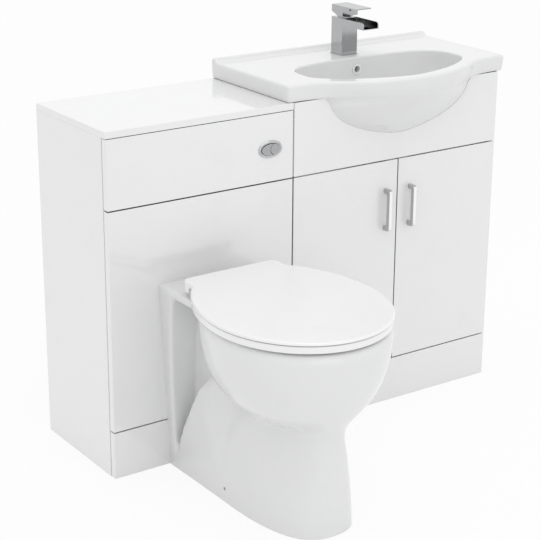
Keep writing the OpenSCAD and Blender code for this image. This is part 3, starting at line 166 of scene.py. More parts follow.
GROUPS = {"bath_boards": BoardSettings, "bath_china": ChinaSettings, "bath_seat": SeatSettings,
          "bath_metal": MetalSettings, "bath_stage": StageSettings}


# ---- surfaces ------------------------------------------------------------------------------------

def fill_mesh(name, shells):
    """One mesh from several shells. A shell is a grid of points, rows by columns by 3, closed round its
    columns; its first and last rows are closed by flat faces, or meet each other where wrap is set."""
    points, faces, start = [], [], 0
    for rings, wrap in shells:
        rows, columns = rings.shape[:2]
        index = start + np.arange(rows * columns).reshape(rows, columns)
        upper = np.roll(index, -1, axis=0) if wrap else index[1:]
        lower = index if wrap else index[:-1]
        quads = np.stack([lower, np.roll(lower, -1, 1), np.roll(upper, -1, 1), upper], axis=-1)
        faces += quads.reshape(-1, 4).tolist()
        if not wrap:
            faces += [index[0, ::-1].tolist(), index[-1].tolist()]
        points.append(rings.reshape(-1, 3))
        start += rows * columns
    mesh = bpy.data.meshes.new(name)
    mesh.from_pydata(np.concatenate(points).tolist(), [], faces)
    work = bmesh.new()
    work.from_mesh(mesh)
    bmesh.ops.remove_doubles(work, verts=work.verts, dist=2e-6)
    bmesh.ops.dissolve_degenerate(work, edges=work.edges, dist=1e-7)
    bmesh.ops.recalc_face_normals(work, faces=work.faces)
    work.to_mesh(mesh)
    work.free()
    return mesh


def add_piece(name, shells, node, material, smooth=None):
    """A new piece that stands for a CAD node and rides on its body. smooth is the angle in degrees under
    which neighbouring faces shade as one."""
    shells = [shell if isinstance(shell, tuple) else (shell, False) for shell in shells]
    piece = bpy.data.objects.new(name, fill_mesh(name, shells))
    bpy.context.scene.collection.objects.link(piece)
    piece.data.materials.append(material)
    if smooth is not None:
        shade(piece, smooth)
    stand_in(piece, node)
    return piece


def shade(piece, degrees):
    """Smooth shading between faces that meet under that angle."""
    piece.data.polygons.foreach_set("use_smooth", [True] * len(piece.data.polygons))
    piece.data.set_sharp_from_angle(angle=np.radians(degrees))
    weigh = piece.modifiers.new("Even shading", "WEIGHTED_NORMAL")
    weigh.keep_sharp = True


def stand_in(piece, *nodes):
    """The piece rides on the first node's body and stands for all of them."""
    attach(piece, BODY_OF[nodes[0]])
    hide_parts(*nodes)


def bake_modifiers(piece):
    """Turns the piece's modifiers into its mesh."""
    graph = bpy.context.evaluated_depsgraph_get()
    mesh = bpy.data.meshes.new_from_object(piece.evaluated_get(graph))
    mesh.name = piece.name
    piece.modifiers.clear()
    piece.data = mesh


def bevel(piece, width, steps=3, angle=30):
    """Rounds the sharp edges of a piece and keeps its flats flat."""
    modifier = piece.modifiers.new("Bevel", "BEVEL")
    modifier.width = width
    modifier.segments = steps
    modifier.limit_method = "ANGLE"
    modifier.angle_limit = np.radians(angle)
    modifier.harden_normals = False
    bake_modifiers(piece)


def rounded_box(a, b, radius, steps=3):
    """Box with rounded edges: a unit direction swept over longitude and latitude, with every quarter's
    ends given twice, carries a small ball to the corner on its side: centre + sign (half - r) + r d."""
    quarter = np.linspace(0, np.pi / 2, steps + 1)
    lon = np.concatenate([quarter + k * np.pi / 2 for k in range(4)])
    lat = np.concatenate([quarter - np.pi / 2, quarter])[:, None]
    sign_x = np.repeat([1, -1, -1, 1], steps + 1) + 0 * lat
    sign_y = np.repeat([1, 1, -1, -1], steps + 1) + 0 * lat
    sign_z = np.repeat([-1, 1], steps + 1)[:, None] + 0 * lon
    ball = np.stack([np.cos(lat) * np.cos(lon), np.cos(lat) * np.sin(lon), np.sin(lat) + 0 * lon], -1)
    a, b = np.array(a, float), np.array(b, float)
    return (a + b) / 2 + np.stack([sign_x, sign_y, sign_z], -1) * ((b - a) / 2 - radius) + radius * ball


def lathe(profile, columns):
    """Turned form: radius and height of a profile, carried round the upright axis."""
    profile = np.array(profile, float)
    turn = np.linspace(0, TAU, columns, endpoint=False)
    radius, height = profile[:, :1], profile[:, 1:]
    return np.stack([radius * np.cos(turn), radius * np.sin(turn), height + 0 * turn], -1)


def prism(outline, axis, a, b):
    """Flat outline carried straight along an axis, from a to b: the outline's two numbers are the two
    other coordinates in order."""
    outline = np.array(outline, float)
    first, second = outline[:, 0], outline[:, 1]
    ends = np.array([a, b], float)[:, None] + 0 * first
    first, second = first + 0 * ends, second + 0 * ends
    order = {"x": (ends, first, second), "y": (first, ends, second), "z": (first, second, ends)}[axis]
    return np.stack(order, -1)


def arc(centre, radius, a, b, steps=6):
    """Points of an arc from angle a to angle b in degrees."""
    turn = np.radians(np.linspace(a, b, steps + 1))
    return np.stack([centre[0] + radius * np.cos(turn), centre[1] + radius * np.sin(turn)], -1)


def signed_power(value, power):
    """Power that keeps the sign, for superellipses."""
    return np.sign(value) * np.abs(value) ** power


def egg(turn, centre, half, front, back, full_front, full_back):
    """Egg-shaped section: x = half cos^(2/n), y = front or back sin^(2/n), each end with its own n."""
    ahead = np.sin(turn) < 0
    power = 2 / np.where(ahead, full_front, full_back)
    reach = np.where(ahead, front, back)
    return np.stack([centre[0] + half * signed_power(np.cos(turn), power),
                     centre[1] + reach * signed_power(np.sin(turn), power)], -1)


def ray_reach(outside, turn, farthest=600):
    """Distance along each ray to where outside(x, y) turns positive, by halving; all rays at once."""
    near = 0 * turn
    far = near + farthest
    for _ in range(HALVINGS):
        half = (near + far) / 2
        out = outside(half * np.cos(turn), half * np.sin(turn)) > 0
        far = np.where(out, half, far)
        near = np.where(out, near, half)
    return (near + far) / 2


def polar(centre, turn, reach, z):
    """Points at a reach along each ray from a centre, at a height."""
    return np.stack([centre[0] + reach * np.cos(turn), centre[1] + reach * np.sin(turn), z + 0 * turn], -1)


def soft_max(a, b, blend):
    """Larger of two numbers, with a smooth change-over of about that width."""
    return (a + b + np.sqrt((a - b) ** 2 + blend ** 2)) / 2


def ease(t):
    """Smooth step from 0 to 1: t^2 (3 - 2 t)."""
    t = np.clip(t, 0, 1)
    return t * t * (3 - 2 * t)


def drawn_in(outline, inset):
    """A closed outline moved inwards along its normals."""
    along = np.roll(outline, -1, 0) - np.roll(outline, 1, 0)
    normal = np.stack([-along[:, 1], along[:, 0]], -1) / np.linalg.norm(along, axis=1, keepdims=True)
    return outline + inset * normal


def smooth_path(points, steps):
    """Curve through all the points, each stretch a cubic from its four neighbours, as in part of a
    Catmull-Rom spline."""
    p = np.array(points, float)
    p = np.concatenate([[2 * p[0] - p[1]], p, [2 * p[-1] - p[-2]]])
    a, b, c, d = p[:-3, None], p[1:-2, None], p[2:-1, None], p[3:, None]
    t = np.linspace(0, 1, steps, endpoint=False)[:, None]
    curve = (b + (c - a) * t / 2 + (2 * a - 5 * b + 4 * c - d) * t ** 2 / 2
             + (3 * b - a - 3 * c + d) * t ** 3 / 2)
    return np.concatenate([curve.reshape(-1, p.shape[1]), p[-2:-1]])


def with_height(section, height):
    """Gives a flat section its height."""
    return np.concatenate([section, np.zeros_like(section[..., :1]) + height], -1)


def cast(name, shells, cell, node, material, passes=6):
    """Casts closed, overlapping shells as one body of china: they are joined on a fine grid of cells and
    relaxed, which fillets every inner corner and rounds every edge."""
    piece = add_piece(name, shells, node, material)
    blend = piece.modifiers.new("Join", "REMESH")
    blend.mode = "VOXEL"
    blend.voxel_size = cell
    blend.use_smooth_shade = True
    soften = piece.modifiers.new("Relax", "SMOOTH")
    soften.factor = 0.5
    soften.iterations = passes
    bake_modifiers(piece)
    return piece


def relax(piece, weight, passes):
    """Moves each point half-way to the middle of its neighbours, as far as weight(points) allows, so many
    times over."""
    mesh = piece.data
    edges, points = np.zeros(len(mesh.edges) * 2, int), np.zeros(len(mesh.vertices) * 3)
    mesh.edges.foreach_get("vertices", edges)
    mesh.vertices.foreach_get("co", points)
    points = points.reshape(-1, 3)
    here = np.concatenate([edges[::2], edges[1::2]])
    there = np.concatenate([edges[1::2], edges[::2]])
    count = np.bincount(here, minlength=len(points))[:, None]
    pull = weight(points)[:, None] / 2
    for _ in range(passes):
        total = np.stack([np.bincount(here, points[there, k], len(points)) for k in range(3)], -1)
        points = points + pull * (total / count - points)
    mesh.vertices.foreach_set("co", points.ravel())
    mesh.update()


# ---- shared shader effects -----------------------------------------------------------------------

def place(tree, kind, values=(), **settings):
    """A shader node with its settings and the values of its sockets."""
    made = tree.nodes.new("ShaderNode" + kind)
    for key, value in settings.items():
        setattr(made, key, value)
    for key, value in dict(values).items():
        made.inputs[key].default_value = value
    return made


def shader_group(name, inputs, outputs):
    """An empty shader node group with named sockets, and its two end nodes."""
    tree = bpy.data.node_groups.new(name, "ShaderNodeTree")
    for label, kind, default in inputs:
        socket = tree.interface.new_socket(name=label, in_out="INPUT", socket_type="NodeSocket" + kind)
        socket.default_value = default
    for label, kind in outputs:
        tree.interface.new_socket(name=label, in_out="OUTPUT", socket_type="NodeSocket" + kind)
    return tree, tree.nodes.new("NodeGroupInput").outputs, tree.nodes.new("NodeGroupOutput").inputs


def uneven_group():
    """Broad waves and a fine grain, as on lacquer, glaze and moulded plastic."""
    tree, given, out = shader_group(
        "Uneven surface",
        [("Broad", "Float", 60.0), ("Fine", "Float", 700.0), ("Grain", "Float", 0.3)], [("Height", "Float")])
    link = tree.links.new
    where = place(tree, "TexCoord").outputs["Object"]
    waves = place(tree, "TexNoise", {"Detail": 1.5, "Roughness": 0.4})
    grain = place(tree, "TexNoise", {"Detail": 2.0, "Roughness": 0.5})
    both = place(tree, "Math", operation="MULTIPLY_ADD")
    for noise, size in ((waves, "Broad"), (grain, "Fine")):
        link(where, noise.inputs["Vector"])
        link(given[size], noise.inputs["Scale"])
    link(grain.outputs["Fac"], both.inputs[0])
    link(given["Grain"], both.inputs[1])
    link(waves.outputs["Fac"], both.inputs[2])
    link(both.outputs["Value"], out["Height"])
    return tree


def wear_group():
    """Patches of handling and cleaning, and scuffs near the floor, as a colour and a roughness."""
    tree, given, out = shader_group(
        "Handling wear",
        [("Colour", "Color", (0.8, 0.8, 0.8, 1)), ("Worn colour", "Color", (0.7, 0.7, 0.7, 1)),
         ("Roughness", "Float", 0.2), ("Worn roughness", "Float", 0.35), ("Scale", "Float", 7.0),
         ("Amount", "Float", 0.3), ("Scuff height", "Float", 0.08)],
        [("Colour", "Color"), ("Roughness", "Float"), ("Mask", "Float")])
    link = tree.links.new
    where = place(tree, "TexCoord").outputs["Object"]
    patches = place(tree, "TexNoise", {"Detail": 5.0, "Roughness": 0.62})
    spread = place(tree, "MapRange", {"From Min": 0.5, "From Max": 0.74}, interpolation_type="SMOOTHSTEP")
    height = place(tree, "SeparateXYZ")
    low_part = place(tree, "MapRange", {"To Min": 0.5, "To Max": 0.0}, interpolation_type="SMOOTHSTEP")
    total = place(tree, "Math", operation="ADD")
    mask = place(tree, "Math", operation="MULTIPLY", use_clamp=True)
    tint = place(tree, "Mix", data_type="RGBA")
    rough = place(tree, "Mix", data_type="FLOAT")
    link(where, patches.inputs["Vector"])
    link(given["Scale"], patches.inputs["Scale"])
    link(patches.outputs["Fac"], spread.inputs["Value"])
    link(where, height.inputs["Vector"])
    link(height.outputs["Z"], low_part.inputs["Value"])
    link(given["Scuff height"], low_part.inputs["From Max"])
    link(spread.outputs["Result"], total.inputs[0])
    link(low_part.outputs["Result"], total.inputs[1])
    link(total.outputs["Value"], mask.inputs[0])
    link(given["Amount"], mask.inputs[1])
    for mix in (tint, rough):
        link(mask.outputs["Value"], mix.inputs[0])
    colours = [socket for socket in tint.inputs if socket.type == "RGBA"]
    numbers = [socket for socket in rough.inputs if socket.name in "AB" and socket.type == "VALUE"]
    link(given["Colour"], colours[0])
    link(given["Worn colour"], colours[1])
    link(given["Roughness"], numbers[0])
    link(given["Worn roughness"], numbers[1])
    link(next(s for s in tint.outputs if s.type == "RGBA"), out["Colour"])
    link(next(s for s in rough.outputs if s.type == "VALUE"), out["Roughness"])
    link(mask.outputs["Value"], out["Mask"])
    return tree


def drawn_group():
    """Fine lines along the height, as brushing or polishing leaves on metal."""
    tree, given, out = shader_group("Drawn lines", [("Lines", "Float", 900.0), ("Stretch", "Float", 0.03)],
                                    [("Height", "Float")])
    link = tree.links.new
    shape = place(tree, "CombineXYZ", {"X": 1.0, "Y": 1.0})
    squeeze = place(tree, "VectorMath", operation="MULTIPLY")
    lines = place(tree, "TexNoise", {"Detail": 3.0, "Roughness": 0.6})
    link(given["Stretch"], shape.inputs["Z"])
    link(place(tree, "TexCoord").outputs["Object"], squeeze.inputs[0])
    link(shape.outputs["Vector"], squeeze.inputs[1])
    link(squeeze.outputs["Vector"], lines.inputs["Vector"])
    link(given["Lines"], lines.inputs["Scale"])
    link(lines.outputs["Fac"], out["Height"])
    return tree


EFFECTS = {"Uneven surface": uneven_group, "Handling wear": wear_group, "Drawn lines": drawn_group}


def effect(tree, name, **values):
    """One of the shared groups placed in a material, built on its first use."""
    node = tree.nodes.new("ShaderNodeGroup")
    node.node_tree = bpy.data.node_groups.get(name) or EFFECTS[name]()
    for key, value in values.items():
        node.inputs[key.replace("_", " ")].default_value = value
    return node


# ---- finishes ------------------------------------------------------------------------------------

def finish_table(scene):
    """What every finish is made of; the main colours come from the settings. Each row holds the colour, the
    worn colour, the roughness, the worn roughness, the amount of wear, the relief group with its values,
    the relief's depth in metres, and the values on the shader's own sockets that are the same all over."""
    boards, china = scene.bath_boards, scene.bath_china
    seat, metal = scene.bath_seat, scene.bath_metal
    peel = ("Uneven surface", {"Broad": 110.0, "Fine": 1500.0, "Grain": 0.15})
    mould = ("Uneven surface", {"Broad": 160.0, "Fine": 2600.0, "Grain": 0.6})
    drawn = ("Drawn lines", {"Lines": 1400.0, "Stretch": 0.02})
    return {
        "white_board": (boards.white, (0.78, 0.78, 0.78), boards.gloss, 0.24, 0.35, peel, 1.2e-5,
                        {"Coat Weight": 1.0, "Coat Roughness": 0.035, "Coat IOR": 1.6}),
        "carcass": (boards.core, (0.66, 0.65, 0.63), 0.42, 0.6, 0.5, mould, 6e-5, {}),
        "china": (china.glaze, (0.74, 0.742, 0.74), china.gloss, 0.17, 0.3,
                  ("Uneven surface", {"Broad": 45.0, "Fine": 380.0, "Grain": 0.12}), 4e-5,
                  {"Coat Weight": 0.4, "Coat Roughness": 0.04}),
        "seat_white": (seat.white, (0.82, 0.82, 0.815), seat.gloss, 0.34, 0.3, mould, 1.2e-5,
                       {"Coat Weight": 1.0, "Coat Roughness": 0.25}),
        "chrome": (metal.chrome, (0.34, 0.345, 0.35), 0.13, 0.24, 0.5, drawn, 3e-6, {"Metallic": 1.0}),
        "handle": (metal.satin, (0.62, 0.62, 0.62), 0.28, 0.42, 0.5, drawn, 1.2e-5, {"Metallic": 1.0}),
        "steel": ((0.56, 0.57, 0.58), (0.36, 0.36, 0.36), 0.34, 0.55, 0.6, drawn, 2e-5, {"Metallic": 1.0}),
        "brass": ((0.66, 0.47, 0.2), (0.4, 0.27, 0.12), 0.28, 0.5, 0.6, drawn, 1.5e-5, {"Metallic": 1.0}),
        "cistern": ((0.7, 0.71, 0.72), (0.58, 0.585, 0.58), 0.38, 0.55, 0.5, mould, 5e-5, {}),
        "pipe": ((0.78, 0.78, 0.77), (0.64, 0.63, 0.6), 0.33, 0.5, 0.4, mould, 4e-5, {}),
        "valve": ((0.66, 0.68, 0.7), (0.5, 0.5, 0.5), 0.36, 0.5, 0.4, mould, 4e-5, {}),
        "rubber": ((0.022, 0.022, 0.023), (0.06, 0.06, 0.058), 0.62, 0.8, 0.5,
                   ("Uneven surface", {"Broad": 220.0, "Fine": 2200.0, "Grain": 0.8}), 1.2e-4, {}),
    }


def opaque(colour):
    """A colour with its alpha."""
    return (*colour, 1.0)


def finish(slot):
    """The material for one of the record's slots, made on its first use."""
    label = "Finish " + slot.replace("_", " ")
    if label in bpy.data.materials:
        return bpy.data.materials[label]
    base, worn, rough, worn_rough, amount, relief, depth, fixed = finish_table(bpy.context.scene)[slot]
    material = bpy.data.materials.new(label)
    material.use_nodes = True
    tree = material.node_tree
    shader = tree.nodes["Principled BSDF"]
    for key, value in fixed.items():
        shader.inputs[key].default_value = value
    wear = effect(tree, "Handling wear", Colour=opaque(base), Worn_colour=opaque(worn), Roughness=rough,
                  Worn_roughness=worn_rough, Amount=amount)
    height = effect(tree, relief[0], **relief[1])
    bump = place(tree, "Bump", {"Distance": depth, "Strength": 1.0})
    tree.links.new(wear.outputs["Colour"], shader.inputs["Base Color"])
    tree.links.new(wear.outputs["Roughness"], shader.inputs["Roughness"])
    tree.links.new(height.outputs["Height"], bump.inputs["Height"])
    tree.links.new(bump.outputs["Normal"], shader.inputs["Normal"])
    return material


# Finishes in other colours: the slot each starts from, its colour and its worn colour. The board gap shade is
# the lacquer inside the gaps between fronts, darkened as painted shade that stands for the shadow there
VARIANTS = {
    "board gap shade": ("white_board", (0.34, 0.34, 0.34), (0.28, 0.28, 0.28)),
    "button bezel": ("chrome", (0.54, 0.545, 0.55), (0.48, 0.48, 0.48)),
    "buttons": ("chrome", (0.42, 0.425, 0.43), (0.38, 0.38, 0.38)),
    # The lever dot is near black as painted shade, the dark of a small hole in the lever's face
    "lever dot shade": ("chrome", (0.05, 0.05, 0.055), (0.05, 0.05, 0.05)),
    # The handle side shade is painted shade on the bar's sides and on the faces behind its front
    "handle side": ("handle", (0.52, 0.52, 0.525), (0.45, 0.45, 0.45)),
}


def variant(label):
    """A finish in other colours, made on its first use."""
    name = "Finish " + label
    if name not in bpy.data.materials:
        slot, base, worn = VARIANTS[label]
        material = finish(slot).copy()
        material.name = name
        wear = next(node for node in material.node_tree.nodes if "Worn colour" in node.inputs)
        wear.inputs["Colour"].default_value = opaque(base)
        wear.inputs["Worn colour"].default_value = opaque(worn)
    return bpy.data.materials[name]


def second_finish(piece, material, chosen):
    """Gives the faces that chosen(centres, normals) picks a finish of their own."""
    faces = piece.data.polygons
    centres, normals = np.zeros(len(faces) * 3), np.zeros(len(faces) * 3)
    faces.foreach_get("center", centres)
    faces.foreach_get("normal", normals)
    picked = chosen(centres.reshape(-1, 3), normals.reshape(-1, 3))
    piece.data.materials.append(material)
    faces.foreach_set("material_index", picked.astype(int))


def painted_channel_reflection(near, far):
    """Chrome of the spout's channel with a painted reflection of its own dark walls in its colour: black at
    the tip, grey at the column."""
    material = finish("chrome").copy()
    material.name = "Finish spout channel painted reflection"
    tree = material.node_tree
    settings = bpy.context.scene.bath_metal
    place_on = place(tree, "SeparateXYZ")
    along = place(tree, "MapRange", {"From Min": far, "From Max": near}, interpolation_type="SMOOTHSTEP")
    tint = place(tree, "Mix", data_type="RGBA")
    ends = [socket for socket in tint.inputs if socket.type == "RGBA"]
    ends[0].default_value = opaque(settings.shade)
    ends[1].default_value = opaque(settings.root)
    tree.links.new(place(tree, "TexCoord").outputs["Object"], place_on.inputs["Vector"])
    tree.links.new(place_on.outputs["Y"], along.inputs["Value"])
    tree.links.new(along.outputs["Result"], tint.inputs[0])
    tree.links.new(next(s for s in tint.outputs if s.type == "RGBA"),
                   tree.nodes["Principled BSDF"].inputs["Base Color"])
    return material


def dress(name):
    """Puts its finish on a CAD node, whose mesh stays as it is."""
    node = NODES[name]
    material = finish(SLOT_OF[name])
    if not node.material_slots:
        node.data.materials.append(material)
    for socket in node.material_slots:
        socket.material = material


# ---- pieces --------------------------------------------------------------------------------------

# Places from here on are in millimetres, and MM scales a finished surface to metres
MM = 0.001
FRONT = low("wc_lower_fascia")[1] / MM
FASCIA_BACK = high("wc_lower_fascia")[1] / MM
PAN_X = middle("pan")[0] / MM
PAN_AXIS_Y = -640.0
PAN_TOP = 457
SOIL_Z, FLUSH_Z = 185, 360
SEAT_Y = -676
SEAT_BOLT = (77.5, -424)
BASIN_X = middle("tap_body")[0] / MM
DECK_Z = low("tap_body")[2] / MM
WASTE_Y, TAP_Y = -250, -95.5
RIM_UNDER = 831
BASIN_DEEP = 144
OVERFLOW_Z = 841
BELLY_LOW = 713
FILLET_LOW, FILLET = 803, 28
BARREL_STEP = 13.5
HINGE_LEVELS = (208, 558.5)
HANDLE_Z, HANDLE_POST = 525, 48
SIDES = (-1, 1)


def combine(piece, operation, *tools):
    """Joins closed shells to a piece or cuts them out of it, one after the other."""
    for rings in tools:
        other = bpy.data.objects.new("tool", fill_mesh("tool", [(rings, False)]))
        bpy.context.scene.collection.objects.link(other)
        modifier = piece.modifiers.new("Combine", "BOOLEAN")
        modifier.object = other
        modifier.operation = operation
        modifier.solver = "EXACT"
        bake_modifiers(piece)
        bpy.data.objects.remove(other)


def oval(width, height, y, count=128):
    """Upright oval in the plane of the fascia: x = w/2 cos, z = h/2 sin."""
    turn = np.linspace(0, TAU, count, endpoint=False)
    centre = middle("button_housing") / MM
    return np.stack([centre[0] + width / 2 * np.cos(turn), y + 0 * turn,
                     centre[2] + height / 2 * np.sin(turn)], -1)


def rod(axis, a, b, centre, diameter, columns=48):
    """Cylinder along an axis from a to b; centre gives the two other coordinates in order."""
    turn = np.linspace(0, TAU, columns, endpoint=False)
    outline = np.stack([centre[0] + diameter / 2 * np.cos(turn), centre[1] + diameter / 2 * np.sin(turn)], -1)
    return prism(outline, axis, a, b)


def block(a, b):
    """Sharp box between two corners, to cut with."""
    return rounded_box(np.array(a) * MM, np.array(b) * MM, 1e-5, 1)


# Boards

def egg_out(x, y, half, front, back, full_front, full_back):
    """Over zero outside an egg-shaped section that is centred on (0, 0)."""
    ahead = y < 0
    power = np.where(ahead, full_front, full_back)
    reach = np.where(ahead, front, back)
    return (np.abs(x) / half) ** power + (np.abs(y) / reach) ** power - 1


def board(name):
    """One lacquered board as a box with eased edges."""
    return add_piece(name + "_look", [rounded_box(low(name), high(name), bpy.context.scene.bath_boards.edge)],
                     name, finish(SLOT_OF[name]))


def rim_front(x, inset):
    """Front edge of the basin: 327 from the wall at the sides, swelling into an arc of radius 337 round
    (320, -78), with a change-over of about 28."""
    radius, base, blend = 337 - inset, 327 - inset, 28
    d = np.sqrt(np.maximum(0, radius ** 2 - (x - BASIN_X) ** 2)) + 78 - base
    return -(base + (d + np.sqrt(d * d + blend ** 2)) / 2)


def bowed_share(turn):
    """1 over the bowed middle of the basin's front and 0 elsewhere, by the angle round its waste."""
    away = np.abs((turn + 1.5 * np.pi) % TAU - np.pi)
    return ease((np.radians(73) - away) / np.radians(13))


def belly_ring(z, turn, grow=0.0):
    """Section of the basin's belly along the rays from its waste, an egg round (320, -235): half
    256 (1 - (1-t)^2.6)^(1/2.2), front 86 + 84 t^0.75 and back 60 + 52 t^0.75, with t from 0 at its lowest
    point to 1 under the rim. Over its last 21 it meets the rim's arc in front, drawn in by
    7.2 + 0.5 drop + 0.0065 drop^2, and it flares out in a fillet elsewhere."""
    t = np.clip((z - BELLY_LOW) / (RIM_UNDER - BELLY_LOW), 0.02, 1)
    top = ease((t - 0.6) / 0.4)
    half = 256 * (1 - (1 - t) ** 2.6) ** (1 / 2.2) + 8 * top
    front, back = 86 + 84 * t ** 0.75 + 4.9 * top, 60 + 52 * t ** 0.75
    reach = ray_reach(lambda a, b: egg_out(a, b - 15, half, front, back, 2.2 - 0.3 * top, 2.4), turn)
    drop = max(0, RIM_UNDER - z)
    inset = 7.2 + 0.5 * drop + 0.0065 * drop ** 2
    wall = ray_reach(lambda a, b: rim_front(a + BASIN_X, inset) - (b + WASTE_Y), turn)
    near = bowed_share(turn) * ease((z - 810) / 21)
    reach = reach * (1 - near) + wall * near
    room = np.maximum(wall - reach, 0)
    rise = np.clip((z - FILLET_LOW) / FILLET, 0, 1)
    flare = FILLET * (1 - np.sqrt(1 - rise ** 2)) * (1 - bowed_share(turn))
    reach = reach + flare * room / (flare + room + 1e-6) + grow
    return polar((BASIN_X, WASTE_Y), turn, reach, z)


BELLY_LEVELS = np.concatenate([
    BELLY_LOW + (FILLET_LOW - BELLY_LOW) * np.linspace(0.004, 1, 26)[:-1] ** 1.5,
    FILLET_LOW + FILLET * np.sin(np.radians(np.linspace(0, 90, 12)))])


def make_boards():
    """The boards, the fascias with their cut-outs and the doors with their hinge pockets; the edges inside
    the gaps between fronts are darker, with painted shade."""
    for name in ("wc_side_left", "wc_top_board", "wc_plinth", "cab_side_right", "cab_plinth"):
        board(name)
    upper = board("wc_upper_fascia")
    combine(upper, "DIFFERENCE", np.stack([oval(58.6, 33.6, y) for y in (FRONT - 2, FASCIA_BACK + 2)]) * MM)
    lower = board("wc_lower_fascia")
    combine(lower, "DIFFERENCE", *[rod("y", FRONT - 2, FASCIA_BACK + 2, (PAN_X, z), diameter) * MM
                                   for z, diameter in ((SOIL_Z, 122), (FLUSH_Z, 76))])
    front = board("cab_upper_fascia")
    turn = np.linspace(0, TAU, 240, endpoint=False)
    cut = [belly_ring(z, turn, 0.5) for z in BELLY_LEVELS]
    cut.append(with_height(cut[-1][:, :2], 860))
    combine(front, "DIFFERENCE", np.stack(cut) * MM)
    # The fascias' level faces, inside the gaps above and below them, take painted shade
    for piece in (upper, lower, front):
        second_finish(piece, variant("board gap shade"), lambda centre, normal: np.abs(normal[:, 2]) > 0.9)
    for side in ("left", "right"):
        piece = board(side + "_door")
        cup_x, screw_x = (middle(side + part)[0] / MM for part in ("_hinge_cups", "_handle"))
        pockets = [rod("y", FASCIA_BACK - 11.7, FASCIA_BACK + 2, (cup_x, z), 35.2) * MM for z in HINGE_LEVELS]
        holes = [rod("y", FRONT - 2, FASCIA_BACK + 2, (screw_x, HANDLE_Z + s * HANDLE_POST), 4.4, 20) * MM
                 for s in SIDES]
        combine(piece, "DIFFERENCE", *pockets, *holes)
        # The doors' edge faces, inside the gaps between fronts, take painted shade
        second_finish(piece, variant("board gap shade"), lambda centre, normal: np.abs(normal[:, 1]) < 0.1)


# Pan

def bowl_sizes(z):
    """Bowl's outside: t runs from 0 at the rim to 1 under the bowl, half = 195.4 q, front = 225.5 f and
    back = 218.6 q, where q = 0.1 + 0.9 sqrt(1 - t^2.8) and f = 0.4 + 0.6 sqrt(1 - t^1.9)."""
    t = min(1, max(0, (455 - z) / 217.2))
    q = 0.1 + 0.9 * np.sqrt(1 - t ** 2.8)
    return 195.4 * q, 225.5 * (0.4 + 0.6 * np.sqrt(1 - t ** 1.9)), 218.6 * q


def foot_out(z, x, y):
    """Over zero outside the foot: its sides lean in with e = (z / 230)^1.4, its nose is a blunt arc of a
    superellipse with exponent 2.9, and its back slopes forward with the height."""
    e = (z / 230) ** 1.4
    half, nose = 110.7 - 41.3 * e, -824.9 + 4.7 * e
    back = -(328 + 42 * min(1, z / 70) + 109 * (max(0, z - 70) / 240) ** 1.35)
    half_back = 114 - (3.3 + 41.3 * e) * min(1, (-back - 328) / 212)
    along = (y + 540) / (back + 540)
    straight = np.maximum(np.abs(x) - (half + (half_back - half) * along), y - back) / 100
    blunt = (np.abs(x) / half) ** 2.9 + (np.abs(y + 540) / (-540 - nose)) ** 2.9 - 1
    return np.where(y < -540, blunt, straight)


def pan_ring(z, turn, inset=0.0):
    """One section of the pan's outside: the reach of bowl, foot and neck along each ray from the middle,
    run into each other where they meet."""
    half, front, back = bowl_sizes(z)
    lean = -675 - PAN_AXIS_Y
    reach = ray_reach(lambda x, y: egg_out(x, y - lean, half, front, back, 2.1, 2.2), turn) - inset
    foot_top, neck_low, neck_top = 325, 60, 447
    if z < foot_top:
        foot = ray_reach(lambda x, y: foot_out(z, x, y + PAN_AXIS_Y), turn)
        reach = soft_max(reach, foot * ease((foot_top - z) / 30), 30)
    if neck_low < z < neck_top:
        neck = ray_reach(lambda x, y: np.maximum(
            np.maximum(np.abs(x) - 56, y + PAN_AXIS_Y + 336), -y - 30), turn)
        reach = soft_max(reach, neck, 20)
    return polar((PAN_X, PAN_AXIS_Y), turn, reach, z)


def slab_ring(z):
    """Section of the slab against the fascia: half its width grows from 113.5 to 137 and its depth from 27
    to 57, with rounded corners of 7 and a rounded upper edge."""
    k, r = min(1, z / PAN_TOP), 7
    inset = r - np.sqrt(max(0, r ** 2 - max(0, z - (PAN_TOP - r)) ** 2))
    half, front = 113.5 + 23.5 * k - inset, FRONT - 27 - 30 * k ** 3 + inset
    corner = arc((-half + r, front + r), r, 180, 270, 8)
    other = corner[::-1] * (-1, 1)
    outline = np.concatenate([[[-half, FRONT + 12]], corner, other, [[half, FRONT + 12]]])
    return with_height(outline + (PAN_X, 0), z)


def deck_ring(z, inset):
    """Section of the deck between slab and bowl, flaring out to the rim through six points a side."""
    side = smooth_path([(134, -338), (134, -450), (135.5, -466), (146, -501), (162.5, -541), (150, -610)], 6)
    right = side - (inset, 0)
    return with_height(np.concatenate([right, right[::-1] * (-1, 1)]) + (PAN_X, 0), z)


def bowl_inside(z, turn, flare=0.0):
    """Section of the bowl's inside: t from 0 at the mouth to 1 at the sump, q = (1 - t^2.4)^0.8, an egg
    round y = -665 + 20 t with half 36 + 117.4 q, front 52 + 132 q and back 48 + 112 q, each grown by the
    flare."""
    t = min(1, (PAN_TOP - z) / 225)
    q = (1 - t ** 2.4) ** 0.8
    section = egg(turn, (PAN_X, -665 + 20 * t), 36 + 117.4 * q + flare, 52 + 132 * q + flare,
                  48 + 112 * q + flare, 2.1, 2.3)
    return with_height(section, z)


